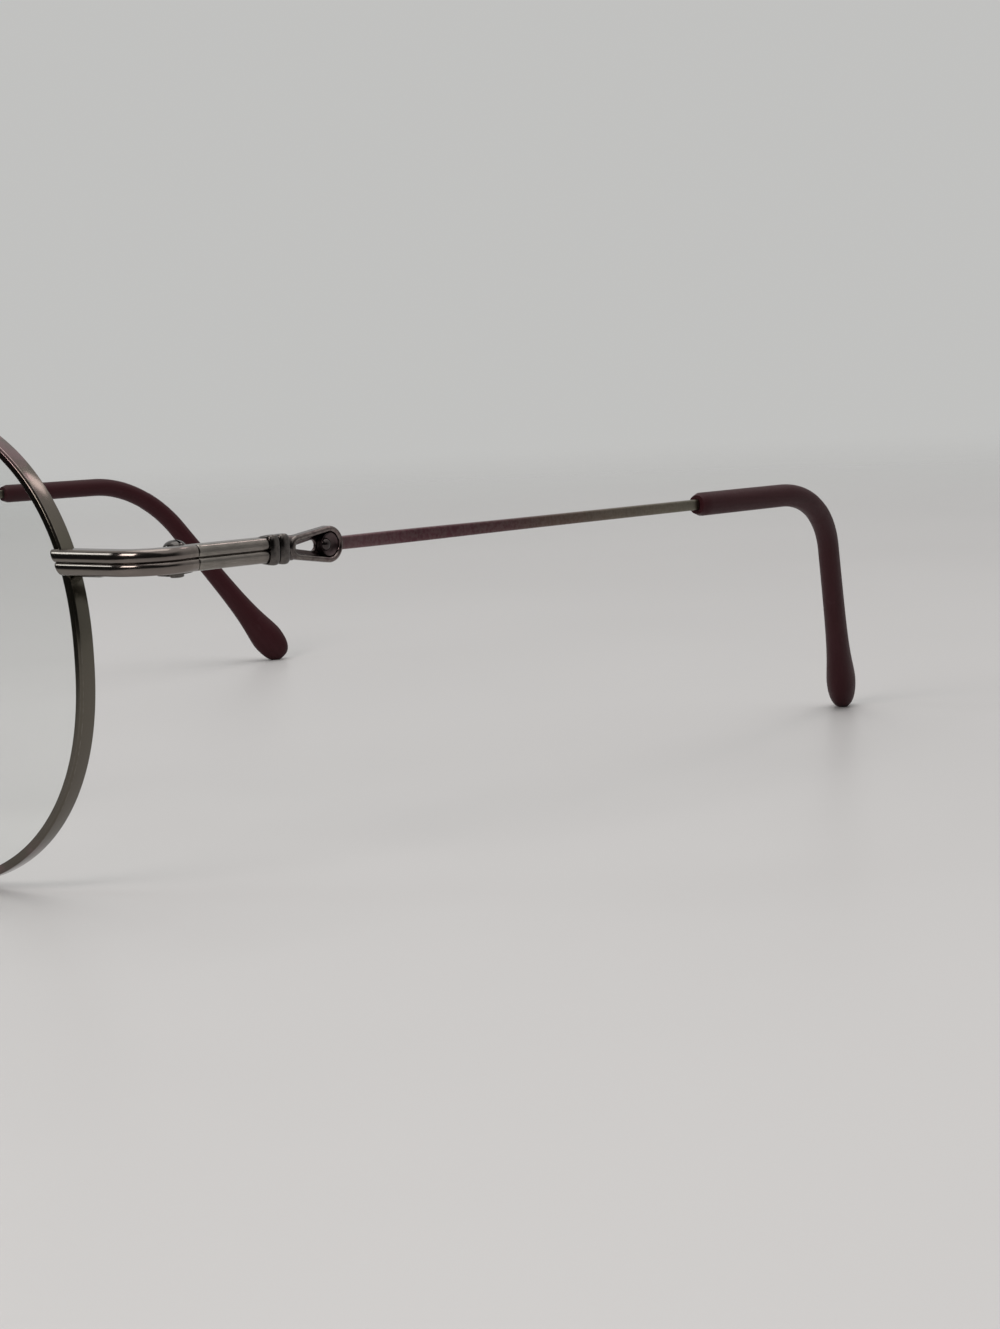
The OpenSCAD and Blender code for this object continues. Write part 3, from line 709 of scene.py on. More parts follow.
@dataclass(frozen=True)
class SoftSilicone(Finish):
    """Milky silicone of the nose pads, with a satin skin and fine dust."""

    name: str = "pad_silicone"
    colour: Colour = (0.74, 0.74, 0.70)
    cloudy: Colour = (0.82, 0.80, 0.72)
    dust: Colour = (0.58, 0.56, 0.50)
    clearness: float = 0.55
    refraction: float = 1.41

    def draw(self, n: Nodes) -> None:
        """Adds the nodes: a cloudy milk colour, satin grain, and light that passes through."""
        place = n.place()
        cloud = n.noise(place, 420.0, 4.0, 0.6)
        dust = n.noise(place, 3600.0, 3.0, 0.7)
        base = n.blend(n.ranged(cloud, 0.35, 0.7), self.colour, self.cloudy)
        shader = n.principled(
            {
                "Base Color": n.blend(n.ranged(dust, 0.62, 0.8, 0.0, 0.3), base, self.dust),
                "Roughness": n.ranged(dust, 0.3, 0.7, 0.24, 0.38),
                "Normal": n.bump(dust, 0.10),
                "IOR": self.refraction,
                "Transmission Weight": self.clearness,
            }
        )
        n.surface(shader)


@dataclass(frozen=True)
class PaleBoard(Finish):
    """Pale glossy board of the floor with a faint haze, see-through far away."""

    name: str = "pale_floor"
    colour: Colour = (0.590, 0.590, 0.588)
    hazy: Colour = (0.603, 0.603, 0.601)
    fade_from: float = 0.16
    fade_to: float = 0.80
    grain_depth: float = 0.0002

    def draw(self, n: Nodes) -> None:
        """Adds the nodes: two close greys, a fine grain, and a see-through share that grows with distance."""
        place = n.place()
        haze = n.noise(place, 9.0, 4.0, 0.5)
        grain = n.noise(place, 900.0, 3.0, 0.6)
        board = n.principled(
            {
                "Base Color": n.blend(n.ranged(haze, 0.35, 0.65), self.colour, self.hazy),
                "Roughness": n.ranged(haze, 0.3, 0.7, 0.36, 0.40),
                "Normal": n.bump(grain, 0.04, self.grain_depth),
                "Specular IOR Level": 0.30,
            }
        )
        away = n.add("VectorMath", {0: place}, operation="LENGTH").outputs["Value"]
        n.surface(n.faded(n.ranged(away, self.fade_from, self.fade_to), board))


@dataclass(frozen=True)
class BlackFelt(Finish):
    """Black card with a soft nap, whose rear edges fade away."""

    name: str = "black_card"
    colour: Colour = (0.012, 0.012, 0.012)
    nap: Colour = (0.020, 0.020, 0.020)
    slant_way: tuple[float, float, float] = (0.78, 0.625, 0.0)
    slant_fade: tuple[float, float] = (-0.150, -0.096)
    rear_fade: tuple[float, float] = (-0.170, -0.127)
    side_fade: tuple[float, float] = (0.06, 0.118)

    def draw(self, n: Nodes) -> None:
        """Adds the nodes: napped black, see-through by the largest of the slanted, rear and side fades."""
        place = n.place()
        shade_of_nap = n.blend(n.noise(place, 300.0, 3.0, 0.6), self.colour, self.nap)
        felt = n.principled({"Base Color": shade_of_nap, "Roughness": 0.9, "Specular IOR Level": 0.1})
        apart = n.add("SeparateXYZ", {0: place}).outputs
        slanted = n.ranged(n.along(place, self.slant_way), *self.slant_fade)
        edge = n.maths("MAXIMUM", slanted, n.ranged(apart["Y"], *self.rear_fade))
        edge = n.maths("MAXIMUM", edge, n.ranged(apart["X"], *self.side_fade))
        n.surface(n.faded(edge, felt))


def even(colour: Colour) -> tuple[tuple[float, Colour], ...]:
    """Stops of a tint that stays the same."""
    return ((0.0, colour), (1.0, colour))

GUNMETAL: Colour = (0.118, 0.104, 0.087)
OLIVE: Colour = (0.119, 0.109, 0.085)
PLUM: Colour = (0.190, 0.127, 0.130)
RIM_FINISH = PlatedMetal(
    "rim_plated_metal",
    ((0.0, PLUM), (0.10, GUNMETAL), (0.72, OLIVE), (0.84, GUNMETAL), (0.90, PLUM)),
    roughness=0.16,
    spread=0.03,
    lines=0.05,
    mottle=0.04,
    relief=0.012,
    specks=0.008,
)
FRONT_FINISH = PlatedMetal(
    "front_plated_metal",
    ((0.0, (0.150, 0.133, 0.114)), (0.5, (0.180, 0.160, 0.142)), (1.0, (0.200, 0.172, 0.156))),
    axis="X",
    low=50.0,
    high=66.0,
    roughness=0.16,
    spread=0.04,
    lines=0.09,
    mottle=0.08,
    relief=0.03,
    specks=0.015,
)
SMALL_FINISH = PlatedMetal(
    "small_plated_metal",
    ((0.0, (0.130, 0.116, 0.104)), (1.0, (0.126, 0.114, 0.100))),
    grain=Grain.OBJECT,
    roughness=0.24,
    relief=0.05,
    specks=0.03,
)
TEMPLE_FINISH = PlatedMetal(
    "temple_plated_metal",
    (
        (0.0, (0.310, 0.288, 0.256)),
        (0.44, (0.290, 0.262, 0.236)),
        (0.56, (0.120, 0.106, 0.100)),
        (0.80, (0.125, 0.096, 0.094)),
        (1.0, (0.140, 0.094, 0.096)),
    ),
    axis="Y",
    low=-54.0,
    high=-36.0,
    roughness=0.20,
    lines=0.45,
    relief=0.06,
    specks=0.03,
    drift=0.12,
)
COLLAR_FINISH = PlatedMetal(
    "collar_plated_metal",
    ((0.0, (0.078, 0.072, 0.068)), (1.0, (0.080, 0.070, 0.066))),
    roughness=0.11,
    lines=0.10,
    relief=0.02,
    specks=0.015,
)
WIRE_FINISH = PlatedMetal(
    "wire_plum_metal",
    (
        # The first two stops, at the wire's eye in the loop's bowl, are painted darker and greyer than the plum
        # wire: painted shade of the hollow over the eye's own plum tone.
        (0.0, (0.070, 0.048, 0.050)),
        (0.055, (0.072, 0.048, 0.050)),
        (0.085, (0.128, 0.060, 0.070)),
        (0.24, (0.094, 0.028, 0.040)),
        (0.42, (0.090, 0.034, 0.040)),
        (0.56, (0.110, 0.070, 0.055)),
        (0.74, (0.140, 0.115, 0.085)),
        (1.0, (0.148, 0.140, 0.102)),
    ),
    axis="Y",
    low=-40.0,
    high=25.0,
    roughness=0.36,
    mottle=0.15,
    specks=0.04,
    drift=0.10,
)
STUD_FINISH = PlatedMetal("stud_dark_metal", even((0.060, 0.049, 0.048)), roughness=0.14, rubbed=GUNMETAL)
SCREW_FINISH = PlatedMetal(
    "screw_turned_steel",
    even((0.078, 0.074, 0.070)),
    roughness=0.08,
    spread=0.03,
    relief=0.02,
    specks=0.01,
    lacquer=0.0,
)
PLASTIC_FINISH = MattePlastic()
LENS_FINISH = ClearLens()
PAD_FINISH = SoftSilicone()
FLOOR_FINISH = PaleBoard()
CARD_FINISH = BlackFelt()

@dataclass(frozen=True)
class Layout:
    """Sizes that several sub-assemblies share, in millimetres and degrees, and the places they give."""

    rim_w: float = 46.9
    rim_h: float = 46.1
    rim_power: float = 2.2
    nose_gap: float = 19.4
    wrap: float = 6.0
    rim_depth: float = 1.9
    rim_t: float = 0.8
    lens_edge: float = -0.47
    lens_radius: float = 120.0
    hinge_width: float = 132.4
    hinge_back: float = 7.0
    hinge_rise: float = 8.55
    bar_h: float = 2.35
    bar_t: float = 1.75
    barrel_r: float = 1.45
    side_gap: float = 0.08
    stack_h: float = 2.65
    hinge_lean: float = 2.0
    hinge_drop: float = 0.5
    temple_in: float = 1.1
    temple_down: float = 1.15
    joint_gap: float = 0.08
    bar_end: float = 0.965
    shift_y: float = -60.4669

    @property
    def rim_x(self) -> float:
        """Distance of a rim's middle from the glasses' middle."""
        return (self.nose_gap + self.rim_w * math.cos(math.radians(self.wrap))) / 2

    @property
    def rim_z(self) -> float:
        """Height of the rims' middle."""
        return self.rim_h / 2

    def sag(self, r: Array | float) -> Array | float:
        """Depth of the lens's dome: R - sqrt(R^2 - r^2)."""
        return self.lens_radius - np.sqrt(self.lens_radius**2 - np.square(r))

    @property
    def lens_sag(self) -> float:
        """Depth of the dome at the lens's side."""
        return float(self.sag(self.rim_w / 2 + self.lens_edge))

    def rim_turn(self, height: float) -> float:
        """Turn in degrees at which the outline reaches a height over the rim's middle."""
        return math.degrees(math.asin((height / (self.rim_h / 2)) ** (self.rim_power / 2)))

    def outline(self, start: float, stop: float, count: int) -> tuple[Array, Array]:
        """The rim's oval |x/a|^p + |z/b|^p = 1, at even distances along it.

        Args:
            start: First turn in degrees.
            stop: Last turn in degrees.
            count: Number of points.

        Returns:
            Points (x, z) about the rim's middle, and outward normals, the oval's gradient made unit.
        """
        a, b, p = self.rim_w / 2, self.rim_h / 2, self.rim_power
        t = np.radians(np.linspace(start, stop, 60 * count))
        dense = oval_at(t, a, b, p)
        run = np.concatenate([[0.0], np.cumsum(np.linalg.norm(np.diff(dense, axis=0), axis=1))])
        even = np.linspace(0.0, run[-1], count)
        points = np.stack([np.interp(even, run, dense[:, k]) for k in (0, 1)], axis=1)
        slope = np.sign(points) * np.abs(points) ** (p - 1) / np.array([a, b]) ** p
        return points, unit(slope)

    def bow(self, points: Array, normals: Array) -> Array:
        """How far the rim lies behind its plane so that it follows the lens's dome."""
        q = points + self.lens_edge * normals
        return self.sag(np.linalg.norm(q, axis=1)) - self.lens_sag

    def bow_at(self, height: float) -> float:
        """The bow at a height over the rim's middle."""
        start = self.rim_turn(height)
        return float(self.bow(*self.outline(start, start + 0.001, 2))[0])

    @property
    def rim(self) -> Array:
        """Matrix from the rim's own frame to the glasses."""
        return moved(self.rim_x, self.shift_y, 0.0) @ turned("Z", self.wrap)

    @property
    def joint(self) -> Array:
        """The joint's outer face point, before the shift along Y."""
        return np.array([self.hinge_width / 2, self.hinge_back, self.rim_z + self.hinge_rise])

    @property
    def hinge(self) -> Array:
        """Matrix from the hinge's frame, whose origin is the joint's outer face."""
        x, y, z = self.joint
        return moved(x, y + self.shift_y, z) @ turned("Z", self.temple_in)

    @property
    def temple(self) -> Array:
        """Matrix from the temple's frame: x out, y back, z up."""
        return self.hinge @ turned("X", -self.temple_down)

    @property
    def barrel(self) -> Array:
        """Matrix from the frame of the hinge barrels."""
        inward = self.bar_t + self.side_gap + self.barrel_r
        lean = turned("X", self.hinge_lean) @ moved(0.0, 0.0, -self.hinge_drop)
        return self.hinge @ moved(-inward, 0.0, 0.0) @ lean

    def bars(self) -> TwinBar:
        """Section of the twin bars at the end piece and the temple's front."""
        return TwinBar(self.bar_h, self.bar_t, end_thick=0.6, count=18)

    def to_world(self) -> Array:
        """Matrix that only shifts along Y."""
        return moved(0.0, self.shift_y, 0.0)


LAYOUT = Layout()
@dataclass
class Sided:
    """A sub-assembly that each side has: drawn on the wearer's left and mirrored on the right."""

    side: Side

    def piece(
        self, name: str, node: str, skins: Sequence[Skin], finish: Finish, sharp: float = CREASE
    ) -> bpy.types.Object:
        """Makes one object of this side, with the side's word before both names."""
        s = self.side.value
        return make_piece(f"{s}_{name}", f"{s}_{node}", skins, finish, self.side, sharp)

    def from_cad(self, name: str, node: str, finish: Finish, width: float) -> bpy.types.Object:
        """Softens a CAD node of this side, with the side's word before both names."""
        s = self.side.value
        return softened(f"{s}_{name}", f"{s}_{node}", finish, width)


@dataclass
class RimAndLens(Sided):
    """The grooved wire hoop round one lens, and the lens in its groove."""

    chamfer: float = 0.2
    groove_w: float = 1.35
    groove_depth: float = 0.35
    soft: float = 0.05
    back_soft: float = 0.08
    groove_soft: float = 0.04
    split_below: float = -0.29375
    split_turn: float = 0.124
    steps: int = 460
    lens_t: float = 1.0
    lens_steps: int = 160
    lens_bevel: tuple[float, float] = (0.32, 0.15)

    def section(self) -> tuple[Array, Array]:
        """The wire's section, and how worn each of its points is: only the corners are, the outer ones most.

        Returns:
            Section points (outward, forward) and a wear value for each.
        """
        d, t, c = LAYOUT.rim_depth, LAYOUT.rim_t, self.chamfer
        low, high = d / 2 - self.groove_w / 2, d / 2 + self.groove_w / 2
        floor = -t + self.groove_depth
        corners = [(0, c), (0, d - c), (-c, d), (-t, d), (-t, high)]
        corners += [(floor, high), (floor, low), (-t, low), (-t, 0), (-c, 0)]
        groove = [self.soft, self.groove_soft, self.groove_soft, self.soft]
        radii = [self.soft] * 3 + [self.back_soft, *groove, self.back_soft, self.soft]
        corner_wear = [0.2, 0.3, 0.12] + [0.0] * 6 + [0.2]
        in_corner = np.array([0.0, 1.0, 1.0, 0.0])
        return rounded(corners, radii, len(in_corner)), np.outer(corner_wear, in_corner).ravel()

    def hoop(self) -> Skin:
        """The section carried round the oval: point + bow, with the outward normal and -Y as axes.

        Returns:
            The split hoop, open by split_turn degrees on both sides of the lock.
        """
        split = LAYOUT.rim_turn(LAYOUT.hinge_rise + self.split_below)
        points, normals = LAYOUT.outline(split + self.split_turn, split + 360 - self.split_turn, self.steps)
        centres = np.stack([points[:, 0], LAYOUT.bow(points, normals), points[:, 1] + LAYOUT.rim_z], axis=1)
        out = np.stack([normals[:, 0], np.zeros(len(normals)), normals[:, 1]], axis=1)
        forward = np.tile([0.0, -1.0, 0.0], (len(normals), 1))
        section, worn = self.section()
        return Skin(placed(on_path(centres, out, forward, section), LAYOUT.rim), wear=worn[None, :])

    def disc(self) -> Skin:
        """The lens: shares k of the outline q on two spheres, y = c - sqrt(R^2 - |k q|^2), and a bevel.

        Returns:
            The lens, front face first, closed in its middle on both faces.
        """
        points, normals = LAYOUT.outline(0.0, 360.0, self.lens_steps + 1)
        q = (points + LAYOUT.lens_edge * normals)[:-1]
        shares = np.concatenate([[0.02], np.linspace(0.1, 0.9, 9), [0.96, 0.985, 0.995]])
        centre = LAYOUT.lens_radius - LAYOUT.rim_depth / 2 - LAYOUT.lens_sag

        def face(height: float, k: Array) -> Array:
            """Points of the shares k on the sphere that lies a height in front of the lens's middle one."""
            flat = k[:, None, None] * q
            y = centre - np.sqrt((LAYOUT.lens_radius + height) ** 2 - (flat**2).sum(axis=2))
            return np.stack([flat[..., 0], y, flat[..., 1] + LAYOUT.rim_z], axis=2)

        bevel = (*self.lens_bevel, *(-h for h in self.lens_bevel[::-1]))
        front, back = face(self.lens_t / 2, shares), face(-self.lens_t / 2, shares[::-1])
        grid = np.concatenate([front, *(face(h, np.ones(1)) for h in bevel), back])
        return Skin(placed(grid, LAYOUT.rim), first=Cap.POINT, last=Cap.POINT)

    def build(self) -> None:
        """Builds and dresses the hoop, the lens and the lock behind the end piece."""
        self.piece("rim_wire", "rim", [self.hoop()], RIM_FINISH, 30)
        self.piece("lens_disc", "lens", [self.disc()], LENS_FINISH, 50)
        for half in ("upper", "lower"):
            self.from_cad(f"lock_block_{half}", f"lock_{half}", SMALL_FINISH, 0.07)
        self.from_cad("lock_screw", "rim_screw", SCREW_FINISH, 0.04)


@dataclass
class Bridge:
    """The arched twin bar over the nose, soldered to both rims."""

    rise: float = 5.5
    arch: float = 3.4
    height: float = 2.3
    thick: float = 1.5
    blend: float = 7.0
    over: float = 0.35
    steps: int = 96
    end_lobe: float = 0.8
    end_run: float = 0.5

    def skin(self) -> Skin:
        """The twin-bar section carried along the bow.

        The crown's height is rise + arch (1 - (x / end)^2). In plan the bow follows both rims' turn, |x|
        tan(wrap), made smooth to x^2 / 2b + b / 2 within the blend b.

        Returns:
            The bow, from the right rim to the left one.
        """
        end = LAYOUT.nose_gap / 2 + LAYOUT.rim_t + self.over
        w = math.tan(math.radians(LAYOUT.wrap))
        x = np.linspace(-end, end, self.steps)
        outside = np.abs(x) > self.blend
        soft = np.where(outside, np.abs(x), x**2 / (2 * self.blend) + self.blend / 2)
        sign = np.where(outside, np.sign(x), x / self.blend)
        front = (LAYOUT.bow_at(self.rise) - LAYOUT.rim_depth) / math.cos(math.radians(LAYOUT.wrap))
        y = (soft - LAYOUT.rim_x) * w + front
        z = LAYOUT.rim_z + self.rise + self.arch * (1 - (x / end) ** 2)
        run = unit(np.stack([np.ones_like(x), sign * w, -2 * self.arch * x / end**2], axis=1))
        out = unit(np.stack([sign * w, -np.ones_like(x), np.zeros_like(x)], axis=1))
        lobes = self.end_lobe + (1 - self.end_lobe) * ease((end - np.abs(x)) / self.end_run)
        sections = TwinBar(self.height, self.thick, end_thick=0.9, count=14).sections(lobes)
        grid = on_path(np.stack([x, y, z], axis=1), out, np.cross(out, run), sections)
        return Skin(placed(grid, LAYOUT.to_world()))

    def build(self) -> None:
        """Builds and dresses the bridge."""
        make_piece("bridge_bow", "bridge", [self.skin()], FRONT_FINISH)


@dataclass
class EndPiece(Sided):
    """The cast twin bar from the rim round the corner to the joint."""

    sunk: float = 0.8
    out: float = 0.15
    bend_r: float = 3.2
    bend_steps: int = 56
    slant: float = 0.45
    level: float = 2.4
    end_wear: float = 0.45
    ear_top: float = -0.6
    ear_share: float = 0.45

    def frames(self) -> tuple[Array, Array, Array, Array]:
        """Path of the inner face: along the rim's front, round the bend of radius r, then back to the joint.

        Returns:
            Centres, turns in degrees, slants of the cut and shares of the full section.
        """
        wrap, inward = math.radians(LAYOUT.wrap), math.radians(LAYOUT.temple_in)
        half_w, half_h, p = LAYOUT.rim_w / 2, LAYOUT.rim_h / 2, LAYOUT.rim_power
        rim_in = half_w * (1 - (LAYOUT.hinge_rise / half_h) ** p) ** (1 / p)
        back = LAYOUT.bow_at(LAYOUT.hinge_rise) - LAYOUT.rim_depth + self.sunk
        along = np.array([math.cos(wrap), math.sin(wrap), 0.0])
        aside = np.array([-math.sin(wrap), math.cos(wrap), 0.0])
        rear = np.array([-math.sin(inward), math.cos(inward), 0.0])
        local = np.array([rim_in - LAYOUT.rim_t + self.out, back, LAYOUT.rim_z + LAYOUT.hinge_rise])
        start = local[0] * along + local[1] * aside + [LAYOUT.rim_x, 0.0, local[2]]
        inner = LAYOUT.joint - LAYOUT.bar_t * np.array([math.cos(inward), math.sin(inward), 0.0])
        gap = inner - start
        run = (gap[0] * rear[1] - gap[1] * rear[0]) / (along[0] * rear[1] - along[1] * rear[0])
        turn = 90 + LAYOUT.temple_in - LAYOUT.wrap
        cut = self.bend_r * math.tan(math.radians(turn / 2))
        centre = start + along * (run - cut) + aside * self.bend_r
        # The rounded nose: run from the start, and share of the full section
        nose = np.array([[0.0, 0.74], [0.04, 0.84], [0.09, 0.9], [0.16, 0.95], [0.25, 0.985], [0.38, 1.0]])
        lead = start + along * [[1.2], [self.level], [4.0]]
        angles = np.radians(LAYOUT.wrap + np.linspace(0.0, turn, self.bend_steps))
        round_way = np.stack([np.sin(angles), -np.cos(angles), np.zeros_like(angles)], axis=1)
        bend = centre + self.bend_r * round_way
        tail = inner - rear * (LAYOUT.joint_gap / 2 + np.array([[0.05], [0.0]]))
        centres = np.vstack([start + along * nose[:, :1], lead, bend, tail])
        front, rest = len(nose), len(lead) + len(bend)
        turns = np.concatenate(
            [np.full(front + len(lead), LAYOUT.wrap), np.degrees(angles), [90 + LAYOUT.temple_in] * len(tail)]
        )
        slants = self.slant * np.concatenate([np.ones(front), [0.6], np.zeros(rest + len(tail) - 1)])
        shares = np.concatenate([nose[:, 1], np.ones(rest + 1), [LAYOUT.bar_end]])
        return centres, turns, slants, shares

    def skin(self) -> Skin:
        """The twin-bar section carried along the frames.

        The outward axis is (sin a, -cos a, 0) at the turn a. The slant tilts the height axis along the path.

        Returns:
            The casting, from its rounded nose to the joint.
        """
        centres, turns, slants, shares = self.frames()
        a = np.radians(turns)
        run = np.stack([np.cos(a), np.sin(a), np.zeros_like(a)], axis=1)
        out = np.stack([np.sin(a), -np.cos(a), np.zeros_like(a)], axis=1)
        up = np.array([0.0, 0.0, 1.0]) - slants[:, None] * run
        wear = np.zeros((len(centres), 1))
        wear[-2:] = self.end_wear
        grid = on_path(centres, out, up, LAYOUT.bars().sections(shares))
        return Skin(placed(grid, LAYOUT.to_world()), wear=wear)

    def filed(self, piece: bpy.types.Object) -> None:
        """Files the lower ear thinner: below h, in the barrel's frame, a point's z becomes h + k (z - h).

        Args:
            piece: The dressed ears.
        """
        mirror = np.array([self.side.sign, 1.0, 1.0]) / MM
        flat = np.empty(3 * len(piece.data.vertices), np.float32)
        piece.data.vertices.foreach_get("co", flat)
        local = placed(flat.reshape(-1, 3).astype(float) * mirror, np.linalg.inv(LAYOUT.barrel))
        deep = np.minimum(local[:, 2] - self.ear_top, 0.0)
        local[:, 2] -= (1 - self.ear_share) * deep
        filed = placed(local, LAYOUT.barrel) / mirror
        piece.data.vertices.foreach_set("co", filed.astype(np.float32).ravel())
        piece.data.update()

    def build(self) -> None:
        """Builds and dresses the end piece and the front half of the hinge."""
        self.piece("end_casting", "end_piece", [self.skin()], FRONT_FINISH)
        self.filed(self.from_cad("hinge_ears", "front_hinge", SMALL_FINISH, 0.07))


@dataclass
class SlottedScrew(Sided):
    """The hinge screw: a domed, slotted head, a shank between the ears and a rounded tip below."""

    head_r: float = 1.05
    head_h: float = 0.7
    rim_h: float = 0.02
    shank_r: float = 0.6
    tip_r: float = 0.65
    tip_h: float = 0.40
    ear_low: float = -0.925
    slot_w: float = 0.25
    slot_d: float = 0.26

    def head(self) -> Skin:
        """The head as rows of upright sections along y.

        The crown is z = h (1 - (r / R)^2)^0.5 over the chord at y. In the slot it is cut down to h - d. Each
        row runs over the crown and back along the flat underside.

        Returns:
            The head, standing on the upper ear.
        """
        w = self.slot_w / 2
        shares = np.sin(np.linspace(-np.pi / 2, np.pi / 2, 30))[1:-1]
        sides = self.head_r * np.concatenate([[-0.9995], shares, [0.9995]])
        slot = [-w - 0.03, -w, -w + 0.004, 0.0, w - 0.004, w, w + 0.03]
        y = np.sort(np.concatenate([sides[np.abs(sides) > w + 0.01], slot]))[:, None]
        x = np.sqrt(self.head_r**2 - y**2) * np.sin(np.linspace(-np.pi / 2, np.pi / 2, 33))
        r = np.sqrt(x**2 + y**2) / self.head_r
        crown = self.head_h * np.clip(1 - r**2, 0.0, 1.0) ** 0.5
        cut = np.where(np.abs(y) < w - 0.002, np.minimum(crown, self.head_h - self.slot_d), crown)
        top = np.stack([x, np.broadcast_to(y, x.shape), cut + self.rim_h], axis=2)
        low = top[:, 1:-1][:, ::-1].copy()
        low[..., 2] = 0.0
        grid = np.concatenate([top, low], axis=1) + [0.0, 0.0, LAYOUT.stack_h / 2]
        return Skin(placed(grid, LAYOUT.barrel))

    def shank(self) -> Skin:
        """The turned shank and tip: radius against height, turned about the screw's axis.

        Returns:
            The shank, from the tip's end up into the head.
        """
        low, top = self.ear_low, LAYOUT.stack_h / 2 - 0.05
        end, tip = low - self.tip_h, self.tip_r
        profile = [(0.02, end), (tip - 0.12, end), (tip - 0.03, end + 0.05), (tip, end + 0.12), (tip, low)]
        profile += [(self.shank_r, low), (self.shank_r, top), (0.02, top)]
        return Skin(placed(turned_profile(profile), LAYOUT.barrel), first=Cap.POINT, last=Cap.POINT, wear=0.2)

    def build(self) -> None:
        """Builds and dresses the hinge screw."""
        self.piece("hinge_pin", "hinge_screw", [self.head(), self.shank()], SCREW_FINISH)


